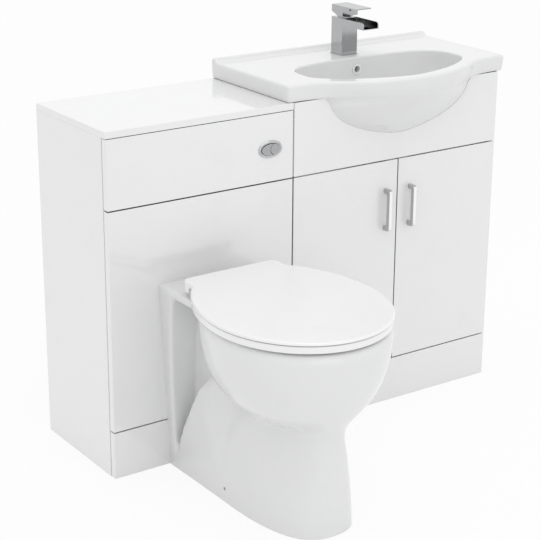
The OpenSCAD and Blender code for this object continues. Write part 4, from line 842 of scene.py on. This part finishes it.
def make_pan():
    """The pan, cast from bowl, foot, neck, deck and slab, then hollowed and drilled. The cast reaches under
    the floor and into the fascia, where two blocks cut it flat."""
    settings = bpy.context.scene.bath_china
    turn = np.linspace(0, TAU, settings.columns, endpoint=False)
    below, trap_radius, over = -8, 40, 470
    levels = np.concatenate([np.linspace(below, 230, 27), np.linspace(236, 432, 34)])
    outer = [pan_ring(z, turn) for z in np.maximum(levels, 0)]
    for ring, z in zip(outer, levels):
        ring[:, 2] = z
    for bend in np.radians(np.linspace(0, 90, 7)):
        rim = pan_ring(440, turn, 14 * (1 - np.cos(bend)))
        outer.append(with_height(rim[:, :2], 435 + 22 * np.sin(bend)))
    quarter = np.radians([22.5, 45, 67.5, 90])
    slab_levels = np.concatenate([np.linspace(0, 450, 24), 450 + 7 * np.sin(quarter)])
    slab = np.stack([slab_ring(z) for z in slab_levels])
    slab[0, :, 2] = below
    deck = np.stack([deck_ring(z, inset) for z, inset in (
        (433, 9), (437, 5), (441, 1.2), (444, 0), (453, 0), (455.5, 1.5), (PAN_TOP, 4))])
    piece = cast("pan_look", [np.stack(outer) * MM, slab * MM, deck * MM], settings.pan_cell, "pan",
                 finish("china"))
    relax(piece, lambda p: ease((p[:, 2] - 0.17) / 0.04) * ease((0.435 - p[:, 2]) / 0.03)
          * ease((-0.425 - p[:, 1]) / 0.04), 150)
    mouth = [bowl_inside(z, turn) for z in 232 + 221 * np.linspace(0, 1, 40) ** 1.5]
    for bend in quarter:
        lip = bowl_inside(PAN_TOP, turn, 5 * (1 - np.cos(bend)))
        mouth.append(with_height(lip[:, :2], 453 + 5 * np.sin(bend)))
    mouth.append(with_height(mouth[-1][:, :2], over))
    way = smooth_path([(-700, 254), (-640, 226), (-566, 264), (-512, 270), (-462, 235), (-420, 191),
                       (-395, SOIL_Z), (-322, SOIL_Z)], 6)
    ring = np.linspace(0, TAU, 48, endpoint=False)
    across, up = trap_radius * np.cos(ring), trap_radius * np.sin(ring)
    trap = np.stack([np.stack([PAN_X + across, y + 0 * ring, z + up], -1) for y, z in way])
    bolt_x, bolt_y = SEAT_BOLT
    combine(piece, "DIFFERENCE",
            block((-500, FRONT, -50), (0, FRONT + 80, 500)), block((-500, -900, -50), (0, FRONT + 90, 0)),
            np.stack(mouth) * MM, trap * MM,
            rod("y", FRONT - 28, FRONT + 5, (PAN_X, FLUSH_Z), 58.6) * MM,
            rod("y", -500, FRONT - 20, (PAN_X, FLUSH_Z), 40) * MM,
            *[rod("z", 417, over, (PAN_X + s * bolt_x, bolt_y), 14, 24) * MM for s in SIDES],
            *[rod("x", PAN_X + s * 80, PAN_X + s * 140, (-558, 30), 8, 24) * MM for s in SIDES])
    shade(piece, 42)


# Seat and lid

def seat_radius(turn):
    """Reach of the seat's outline from its middle: an ellipse of 203 by 223.5 in front and 279 at the back,
    run into a tab 252 wide that is cut straight along the hinge with corners of 18."""
    c, s = np.cos(turn), np.sin(turn)
    reach = 1 / np.hypot(c / 203, s / np.where(s > 0, 279, 223.5))
    tab = ray_reach(lambda x, y: np.hypot(
        np.maximum(np.abs(x) - 108, 0), np.maximum(np.abs(y) - 247.4, 0)) - 18, turn)
    return np.where(s > 0.2, np.minimum(soft_max(reach, tab, 5), 265.4 / np.maximum(s, 0.2)), reach)


def seat_ring_at(turn, radius, z):
    """Points at a radius round the seat's middle."""
    return polar((PAN_X, SEAT_Y), turn, radius, z)


def lid_top(y):
    """Height of the lid's top, which falls 7 from the hinge to the front."""
    return 494 - 7 * (-410.6 - y) / 488.9


def skirt_low(x, y):
    """Lower edge of the lid's skirt: level round the seat, raised along the hinge and let down at its two
    ends."""
    ends = np.clip(y + 442, 0, 1) * np.clip((np.abs(x - PAN_X) - 108) / 4, 0, 1)
    return 481.2 + 5.8 * np.clip((y + 443) / 2, 0, 1) - 19 * ends


def make_seat():
    """The seat ring and the lid, as surfaces in polar coordinates, with more rays over the tab's corners.
    The ring stands from 462 to 478.8, falls a little towards its hole and has rounded edges of 2.4 outside
    and 5 inside."""
    settings = bpy.context.scene.bath_seat
    corners = np.radians(np.linspace(57, 68, 90))
    turn = np.unique(np.concatenate([np.linspace(0, TAU, 480, endpoint=False), corners, np.pi - corners]))
    radius, ahead = seat_radius(turn), np.sin(turn)
    outer = np.where(ahead > 0.3, np.minimum(radius - 2, 229 / np.maximum(ahead, 0.3)), radius - 2)
    hole = 1 / np.hypot(np.cos(turn) / 116, ahead / np.where(ahead > 0, 150, 158))
    bend = np.radians(np.linspace(0, 90, 6))
    rows = [(outer - inset, z) for inset, z in ((7, 462), (2.2, 462.6), (0.6, 463.6), (0, 465))]
    rows += [(outer - 2.4 * (1 - np.cos(b)), 476.4 + 2.4 * np.sin(b)) for b in bend]
    rows += [(outer - 7, 478.6), (hole + 7, 474.1)]
    rows += [(hole + 5 * (1 - np.cos(b)), 469 + 5 * np.sin(b)) for b in bend[::-1]]
    rows += [(hole, 463.2), (hole + 1, 462)]
    rings = np.stack([seat_ring_at(turn, reach, z) for reach, z in rows])
    ring = add_piece("seat_ring_look", [(rings * MM, True)], "seat_ring", finish("seat_white"))
    shade(ring, 50)
    wall, edge = settings.wall / MM, settings.edge / MM
    outline = seat_ring_at(turn, radius, 0)[:, :2]
    skirt, top = skirt_low(*outline.T), lid_top(outline[:, 1])
    inner = [seat_ring_at(turn, radius - inset, 0)[:, :2] for inset in (26, 21)]
    rows = [(row, lid_top(row[:, 1]) - wall) for row in inner]
    rows += [(drawn_in(outline, wall), z) for z in (top - wall - 0.5, skirt)]
    rows += [(drawn_in(outline, inset), skirt + up) for inset, up in ((0.6, 0), (0, 0.8))]
    rows += [(drawn_in(outline, edge * (1 - np.cos(b))), top - edge * (1 - np.sin(b)))
             for b in np.radians(np.linspace(0, 90, 7))]
    rows += [(row, lid_top(row[:, 1])) for row in inner[::-1]]
    rings = [with_height(row, z[:, None]) for row, z in rows]
    lid = add_piece("seat_lid_look", [np.stack(rings) * MM], "seat_lid", finish("seat_white"))
    shade(lid, 50)


# Basin

def rim_ring(inset, z):
    """Outline of the basin drawn in by an inset. From its upper edge on it stands up by wall_ridge(y)."""
    x0, x1, r = -16 + inset, 656 - inset, 7
    front = rim_front(x0 + r, inset)
    side = np.linspace(0, 1, 60, endpoint=False)[:, None] ** 1.25
    down = np.array([x0, 0]) + side * np.array([0, front + r])
    corner = arc((x0 + r, front + r), r, 180, 270, 8)
    x = np.linspace(x0 + r, x1 - r, 240)[1:-1]
    ahead = np.stack([x, rim_front(x, inset)], -1)
    back = np.stack([np.linspace(x1, x0, 120)[1:-1], np.zeros(118)], -1)
    mirror = (np.concatenate([down, corner]) * (-1, 1) + (x0 + x1, 0))[::-1]
    outline = np.concatenate([down, corner, ahead, mirror, back])
    return with_height(outline, z + (wall_ridge(outline[:, 1:]) if z > 862 else 0))


def wall_ridge(y):
    """Height of the ridge over the deck at a distance from the wall: 9 on top, a rounded edge of 3, then a
    cove that falls to nothing at 35."""
    d = -y
    nose = 6 + np.sqrt(np.clip(9 - np.clip(d - 10, 0, 3) ** 2, 0, 9))
    cove = 7.49 * np.clip(1 - (d - 12.6) / 22.4, 0, 1) ** 3.6
    return np.where(d < 12.6, nose, cove)


def basin_bowl(k, flare):
    """Sizes of the basin's bowl at a share k of its depth of 144: q = (1 - k^3)^(1/2.2)."""
    q = (1 - min(1, k) ** 3) ** (1 / 2.2)
    return (-268 * q - 250 * (1 - q), 36 + 199 * q + flare, 36 + 83 * q + flare, 36 + 82.5 * q + flare,
            1.6 + 0.4 * (1 - q), 3.6 - 1.6 * (1 - q))


def bowl_ring(k, flare, turn, z):
    """Section of the basin's bowl along the rays from its waste."""
    y, *sizes = basin_bowl(k, flare)
    reach = ray_reach(lambda a, b: egg_out(a, b - (y - WASTE_Y), *sizes), turn, 500)
    return polar((BASIN_X, WASTE_Y), turn, reach, z)


def bowl_wall(z):
    """Place of the basin's bowl's back wall at a height."""
    y, _, _, back, *_ = basin_bowl((DECK_Z - z) / BASIN_DEEP, 0)
    return y + back


def make_basin():
    """The basin as one surface: from under the belly out to the rim, over its edge, across the deck and
    down into the bowl; then its holes and the pocket under the tap. The rim's lower edge is drawn in by the
    first number of the profile at the sides and by the second where the front swells."""
    profile = [(4.5, 7.0, 831.3), (2.6, 6.2, 833), (1.8, 4.3, 838), (1.2, 2.4, 844), (0.8, 1.05, 851),
               (0.4, 0.35, 857), (0, 0, 863)]
    corner = [(6 * (1 - np.cos(b)), 866 + 6 * np.sin(b)) for b in np.radians(np.linspace(0, 90, 9))]
    last = rim_ring(*corner[-1])
    turn = np.arctan2(last[:, 1] - WASTE_Y, last[:, 0] - BASIN_X)
    bowed = bowed_share(turn)[:, None]
    edge = [rim_ring(side, z) * (1 - bowed) + rim_ring(inset, z) * bowed for side, inset, z in profile]
    edge += [rim_ring(inset, z) for inset, z in corner]
    lip, lip_deep = 3.5, 4.3
    mouth = bowl_ring(0, lip, turn, DECK_Z)
    deck = []
    for t in np.linspace(0, 1, 60)[1:-1] ** 1.55:
        row = edge[-1] * (1 - t) + mouth * t
        row[:, 2] = DECK_Z + wall_ridge(row[:, 1])
        deck.append(row)
    bend = np.radians(np.linspace(0, 90, 8))
    flare = [bowl_ring(0, lip * (1 - np.sin(b)), turn, DECK_Z - lip_deep * (1 - np.cos(b))) for b in bend]
    depth = 0.03 + 0.97 * np.sin(np.linspace(0, np.pi / 2, 46)[1:])
    bowl = [bowl_ring(k, 0, turn, DECK_Z - BASIN_DEEP * k) for k in depth]
    under = [belly_ring(z, turn) for z in BELLY_LEVELS]
    rows = np.stack(under + edge + deck + flare + bowl)
    piece = add_piece("basin_look", [rows * MM], "basin", finish("china"))
    wall = bowl_wall(OVERFLOW_Z)
    combine(piece, "DIFFERENCE",
            rod("z", 700, 763, (BASIN_X, WASTE_Y), 45) * MM, rod("z", 832, 892, (BASIN_X, TAP_Y), 35) * MM,
            rod("y", wall - 30, wall + 24, (BASIN_X, OVERFLOW_Z), 21) * MM,
            block((60, -118, 825), (580, -24, 858)))
    shade(piece, 48)


def make_overflow():
    """The overflow's ring, turned and leaned back with the bowl's wall."""
    span = 8
    lean = np.arctan((bowl_wall(OVERFLOW_Z + span) - bowl_wall(OVERFLOW_Z - span)) / (2 * span))
    profile = [(8.5, -6), (9.5, -6), (9.5, 0.9), (12.6, 0.9), (13.1, 1.2)]
    profile += [(11 + 2.1 * np.cos(b), 1.6 + 1.8 * np.sin(b)) for b in np.radians(np.linspace(0, 90, 6))]
    profile += [(9.6, 3.3), (8.9, 3.0), (8.5, 2.2)]
    tilt = np.pi / 2 - lean
    c, s = np.cos(tilt), np.sin(tilt)
    place_at = [BASIN_X, bowl_wall(OVERFLOW_Z), OVERFLOW_Z]
    ring = lathe(profile, 96) @ np.array([[1, 0, 0], [0, c, -s], [0, s, c]]).T + place_at
    piece = add_piece("overflow_look", [(ring * MM, True)], "overflow_ring", finish("seat_white"))
    shade(piece, 40)


# Tap

def make_tap():
    """Base plate 50 square, column 48 wide with the open spout, whose walls are 3 thick, and lever with its
    dot; the channel's faces and the dot have finishes of their own, with painted reflection in the channel
    and painted shade on the dot."""
    settings = bpy.context.scene.bath_metal
    half, half_foot, wall = 24, 25, 3
    back, face, tip_y = -73, -118, -204
    width = (BASIN_X - half, BASIN_X + half)
    foot = [np.array([BASIN_X + s * half_foot, TAP_Y + s * half_foot, DECK_Z + rise]) * MM
            for s, rise in ((-1, 0), (1, 2.5))]
    add_piece("tap_base", [rounded_box(*foot, 6e-4)], "tap_body", finish("chrome"))
    tip = arc((tip_y + 8, 958.5), 8, 180, 90, 10)
    underside = [(back, 874.5), (face, 874.5), (face, 949.5), (-202, 949.5), (tip_y, 951.5)]
    outline = np.concatenate([underside, tip, [(face, 966.5), (back, 966.5)]])
    column = add_piece("tap_column", [prism(outline, "x", *width) * MM], "tap_body", finish("chrome"))
    channel = [(tip_y - 2, 952.5), (face, 952.5), (face, 968), (tip_y - 2, 968)]
    combine(column, "DIFFERENCE", prism(channel, "x", width[0] + wall, width[1] - wall) * MM,
            rod("z", 924.5, 970, (BASIN_X, TAP_Y), 32.1) * MM)
    bevel(column, settings.bevel, 2)
    second_finish(column, painted_channel_reflection(face * MM, tip_y * MM), lambda centre, normal: (
        (np.abs(centre[:, 0] - BASIN_X * MM) < 0.0211) & (centre[:, 1] < -0.1175) & (centre[:, 1] > -0.2035)
        & (centre[:, 2] > 0.9522)))
    shade(column, 35)
    outline = [(TAP_Y, 971.5), (face, 971.5), (face, 994), (-172, 994), (-172, 997), (back, 997),
               (back, 979.5)]
    lever = add_piece("tap_lever_look", [prism(outline, "x", *width) * MM], "tap_lever", finish("chrome"))
    combine(lever, "DIFFERENCE", rod("z", 965, 986.5, (BASIN_X, TAP_Y), 32) * MM)
    combine(lever, "UNION", rod("y", face - 0.8, face + 1, (BASIN_X, 985.5), 5, 32) * MM)
    bevel(lever, settings.bevel, 2)
    # The dot's faces take painted shade
    second_finish(lever, variant("lever dot shade"),
                  lambda centre, normal: (np.abs(centre[:, 0] - BASIN_X * MM) < 0.0026)
                  & (np.abs(centre[:, 2] - 0.9855) < 0.0026) & (centre[:, 1] < -0.11805))
    shade(lever, 35)


# Button

def make_button():
    """Bezel, cup and barrels of the flush button, and its two buttons. The bezel's face is a crown that rises
    3.7 as its width falls by 6.3 b^2, then drops inside to the cup; the full button is an oval less the
    half button's circle."""
    proud, crown = 3.7, 6.3
    front = FRONT - proud
    x, _, z = middle("button_housing") / MM

    def barrels(a, b, diameter):
        return [rod("y", FRONT + a, FRONT + b, (x + s * BARREL_STEP, z), diameter) * MM for s in SIDES]

    rings = [oval(67 - crown * b * b, 42 - crown * b * b, FRONT - proud * b) for b in np.linspace(0, 1, 9)]
    rings += [oval(55.6, 30.6, front), oval(54.6, 29.6, front + 0.4), oval(54, 29, front + 1.2)]
    rings += [oval(54, 29, FRONT + 14), oval(58, 33, FRONT + 14), oval(58, 33, FRONT + 0.02)]
    bezel = add_piece("button_bezel", [(np.stack(rings) * MM, True)], "button_housing",
                      variant("button bezel"))
    shade(bezel, 40)
    cup = np.stack([oval(58, 33, FRONT + 14), oval(58, 33, FRONT + 24)])
    back = add_piece("button_cup", [cup * MM], "button_housing", finish("chrome"))
    flange = np.stack([oval(68, 43, FASCIA_BACK), oval(68, 43, FASCIA_BACK + 5)])
    combine(back, "UNION", flange * MM, *barrels(15, 52, 24), *barrels(51, 58, 10))
    combine(back, "DIFFERENCE", *barrels(13, 48, 20), *barrels(47, 61, 6.6))
    bevel(back, 4e-4, 2)
    shade(back, 35)
    plate = np.stack([oval(53.2, 28.2, FRONT - 6), oval(53.2, 28.2, FRONT + 2)]) * MM
    half_x = x + 27 - 0.4 - 14.1
    full = add_piece("full_flush_look", [plate], "full_flush_button", variant("buttons"))
    combine(full, "DIFFERENCE", rod("y", FRONT - 9, FRONT + 3, (half_x, z), 30.4, 96) * MM,
            block((half_x, -400, 600), (0, -300, 800)))
    half = add_piece("half_flush_look", [plate], "half_flush_button", variant("buttons"))
    combine(half, "INTERSECT", rod("y", FRONT - 8, FRONT + 3, (half_x, z), 28.2, 96) * MM)
    for piece, side in zip((full, half), SIDES):
        bevel(piece, 6e-4, 3)
        combine(piece, "UNION", rod("y", FRONT + 1.5, FRONT + 41.9, (x + side * BARREL_STEP, z), 19.9) * MM)
        shade(piece, 35)


# Handles

def make_handles():
    """Bow handles: a flat bar 11 deep and 9 wide on two legs that curve out of the door, by arcs of 9 outside
    and 5 inside, with the screws that hold them."""
    half, bar_front, deep, outside, inside = 53.5, FRONT - 24, 11, 9, 5
    wide_bend, tight_bend = (np.radians(np.linspace(0, 90, count)) for count in (13, 10))
    near, off = deep + inside, half - deep - inside
    corner = [(bar_front + outside - outside * np.sin(b), -half + outside - outside * np.cos(b))
              for b in wide_bend]
    inner = [(bar_front + near - inside * np.sin(b), off + inside * np.cos(b)) for b in tight_bend]
    outer = [(FRONT, -half)] + corner + [(a, -b) for a, b in corner[::-1]] + [(FRONT, half)]
    hollow = [(FRONT, half - deep)] + inner + [(a, -b) for a, b in inner[::-1]] + [(FRONT, -half + deep)]
    outline = np.array(outer + hollow) + (0, HANDLE_Z)
    for name in ("left_handle", "right_handle"):
        x = middle(name)[0] / MM
        posts = [(x, HANDLE_Z + s * HANDLE_POST) for s in SIDES]
        bow = prism(outline, "x", x - 4.5, x + 4.5)
        piece = add_piece(name + "_look", [bow * MM], name, finish("handle"))
        combine(piece, "DIFFERENCE", *[rod("y", FRONT - 12, FRONT + 1, post, 4, 24) * MM for post in posts])
        bevel(piece, 8e-4, 3)
        for post in posts:
            combine(piece, "UNION", rod("y", FRONT - 11, FASCIA_BACK + 1.5, post, 3.9, 24) * MM,
                    rod("y", FASCIA_BACK + 0.01, FASCIA_BACK + 2, post, 8, 24) * MM)
        # The bar's sides and every face behind its front take painted shade
        second_finish(piece, variant("handle side"), lambda centre, normal: (
            (np.abs(normal[:, 0]) > 0.7) | (centre[:, 1] > (bar_front + 2) * MM)))
        shade(piece, 28)


# Fittings

def make_fittings():
    """Finishes on every CAD node that stays in view."""
    for name, node in NODES.items():
        if not node.hide_render:
            dress(name)


# ---- stage ---------------------------------------------------------------------------------------

def lamp(name, place_at, aim, size, power):
    """A square panel of light that faces a point."""
    data = bpy.data.lights.new(name, "AREA")
    data.size = size
    data.energy = power
    panel = bpy.data.objects.new(name, data)
    bpy.context.scene.collection.objects.link(panel)
    panel.location = place_at
    panel.rotation_euler = (Vector(aim) - Vector(place_at)).to_track_quat("-Z", "Y").to_euler()


def make_camera(settings):
    """The camera stands where the photograph was taken from; its axes are right, up and back."""
    data = bpy.data.cameras.new("Camera")
    data.sensor_width = 36.0
    data.lens = settings.focal
    data.clip_end = 200.0
    camera = bpy.data.objects.new("Camera", data)
    bpy.context.scene.collection.objects.link(camera)
    right = Vector((0.82333537, -0.5675231, 0.00603352))
    up = Vector((0.18444823, 0.27761209, 0.94282044))
    back = Vector((-0.53674736, -0.77514454, 0.33324648))
    turned = Matrix((right, up, back)).transposed().to_4x4()
    camera.matrix_world = Matrix.Translation(settings.eye) @ turned
    bpy.context.scene.camera = camera


def seen_rays(tree):
    """1 for the rays of the eye, of reflections and through glass, 0 for the rest."""
    rays = place(tree, "LightPath").outputs
    seen = rays["Is Camera Ray"]
    for other in ("Is Glossy Ray", "Is Transmission Ray"):
        either = place(tree, "Math", operation="MAXIMUM")
        tree.links.new(seen, either.inputs[0])
        tree.links.new(rays[other], either.inputs[1])
        seen = either.outputs["Value"]
    return seen


def make_surroundings(settings):
    """White all round for the eye and for reflections, a plain soft light for the rest."""
    world = bpy.data.worlds.new("Studio")
    bpy.context.scene.world = world
    world.use_nodes = True
    tree = world.node_tree
    tree.nodes.clear()
    mix = place(tree, "MixShader")
    tree.links.new(seen_rays(tree), mix.inputs[0])
    for strength, slot in ((settings.ambient, 1), (1.0, 2)):
        light = place(tree, "Background", {"Color": (1, 1, 1, 1), "Strength": strength})
        tree.links.new(light.outputs["Background"], mix.inputs[slot])
    output = tree.nodes.new("ShaderNodeOutputWorld")
    tree.links.new(mix.outputs["Shader"], output.inputs["Surface"])


def make_floor(settings):
    """Pale floor that stays nearly white to the eye and keeps the object's shadow."""
    mesh = bpy.data.meshes.new("Floor")
    reach = 40.0
    mesh.from_pydata([(-reach, -reach, -0.0005), (reach, -reach, -0.0005), (reach, reach, -0.0005),
                      (-reach, reach, -0.0005)], [], [(0, 1, 2, 3)])
    floor = bpy.data.objects.new("Floor", mesh)
    bpy.context.scene.collection.objects.link(floor)
    material = bpy.data.materials.new("Finish floor")
    material.use_nodes = True
    tree = material.node_tree
    tree.nodes.clear()
    paint = place(tree, "BsdfDiffuse", {"Color": opaque(settings.floor)})
    glow = place(tree, "Emission", {"Color": (1, 1, 1, 1), "Strength": 1.0})
    seen = place(tree, "Math", {1: settings.glow}, operation="MULTIPLY")
    mix = place(tree, "MixShader")
    output = tree.nodes.new("ShaderNodeOutputMaterial")
    tree.links.new(seen_rays(tree), seen.inputs[0])
    tree.links.new(seen.outputs["Value"], mix.inputs[0])
    tree.links.new(paint.outputs["BSDF"], mix.inputs[1])
    tree.links.new(glow.outputs["Emission"], mix.inputs[2])
    tree.links.new(mix.outputs["Shader"], output.inputs["Surface"])
    mesh.materials.append(material)


def make_stage():
    """Camera, lamps, surroundings and floor."""
    scene = bpy.context.scene
    settings = scene.bath_stage
    scene.view_settings.view_transform = "Standard"
    make_camera(settings)
    make_surroundings(settings)
    make_floor(settings)
    lamp("Panel above", (0.0, -0.9, 3.4), (0.0, -0.4, 0.8), 2.6, settings.top)
    lamp("Panel in front", (-0.9, -4.2, 1.7), (0.0, -0.3, 0.5), 2.6, settings.front)


# ---- add-on --------------------------------------------------------------------------------------

def run(make):
    """An operator's execute, from the function that makes its piece."""
    def execute(self, context):
        make()
        return {"FINISHED"}
    return execute


class BATH_OT_stage(bpy.types.Operator):
    """Set up the camera, the lamps, the surroundings and the floor"""
    bl_idname = "bath.stage"
    bl_label = "Stage"
    execute = run(make_stage)


class BATH_OT_boards(bpy.types.Operator):
    """Make the lacquered boards, the fascias and the doors"""
    bl_idname = "bath.boards"
    bl_label = "Boards and doors"
    execute = run(make_boards)


class BATH_OT_pan(bpy.types.Operator):
    """Make the glazed pan"""
    bl_idname = "bath.pan"
    bl_label = "Pan"
    execute = run(make_pan)


class BATH_OT_seat(bpy.types.Operator):
    """Make the seat ring and the lid"""
    bl_idname = "bath.seat"
    bl_label = "Seat and lid"
    execute = run(make_seat)


class BATH_OT_basin(bpy.types.Operator):
    """Make the basin with its bowl and holes"""
    bl_idname = "bath.basin"
    bl_label = "Basin"
    execute = run(make_basin)


class BATH_OT_overflow(bpy.types.Operator):
    """Make the ring of the overflow"""
    bl_idname = "bath.overflow"
    bl_label = "Overflow ring"
    execute = run(make_overflow)


class BATH_OT_tap(bpy.types.Operator):
    """Make the tap and its lever"""
    bl_idname = "bath.tap"
    bl_label = "Tap"
    execute = run(make_tap)


class BATH_OT_button(bpy.types.Operator):
    """Make the flush button"""
    bl_idname = "bath.button"
    bl_label = "Flush button"
    execute = run(make_button)


class BATH_OT_handles(bpy.types.Operator):
    """Make the door handles"""
    bl_idname = "bath.handles"
    bl_label = "Handles"
    execute = run(make_handles)


class BATH_OT_fittings(bpy.types.Operator):
    """Put finishes on the fittings that keep their construction shapes"""
    bl_idname = "bath.fittings"
    bl_label = "Fittings"
    execute = run(make_fittings)


OPERATORS = (BATH_OT_stage, BATH_OT_boards, BATH_OT_pan, BATH_OT_seat, BATH_OT_basin, BATH_OT_overflow,
             BATH_OT_tap, BATH_OT_button, BATH_OT_handles, BATH_OT_fittings)


class BATH_PT_panel(bpy.types.Panel):
    """Steps and settings of the toilet and basin unit's looks"""
    bl_idname = "BATH_PT_panel"
    bl_label = "Toilet and basin unit"
    bl_space_type = "VIEW_3D"
    bl_region_type = "UI"
    bl_category = "Bathroom"

    def draw(self, context):
        for operator in OPERATORS:
            self.layout.operator(operator.bl_idname)
        for name, group in GROUPS.items():
            box = self.layout.box()
            for key in group.__annotations__:
                box.prop(getattr(context.scene, name), key)


CLASSES = (*GROUPS.values(), *OPERATORS, BATH_PT_panel)


def register():
    for item in CLASSES:
        bpy.utils.register_class(item)
    for name, group in GROUPS.items():
        setattr(bpy.types.Scene, name, PointerProperty(type=group))


def unregister():
    for name in GROUPS:
        delattr(bpy.types.Scene, name)
    for item in reversed(CLASSES):
        bpy.utils.unregister_class(item)


def main():
    """Makes everything in order."""
    register()
    for operator in OPERATORS:
        getattr(bpy.ops.bath, operator.bl_idname.removeprefix("bath."))()


if __name__ == "__main__":
    main()
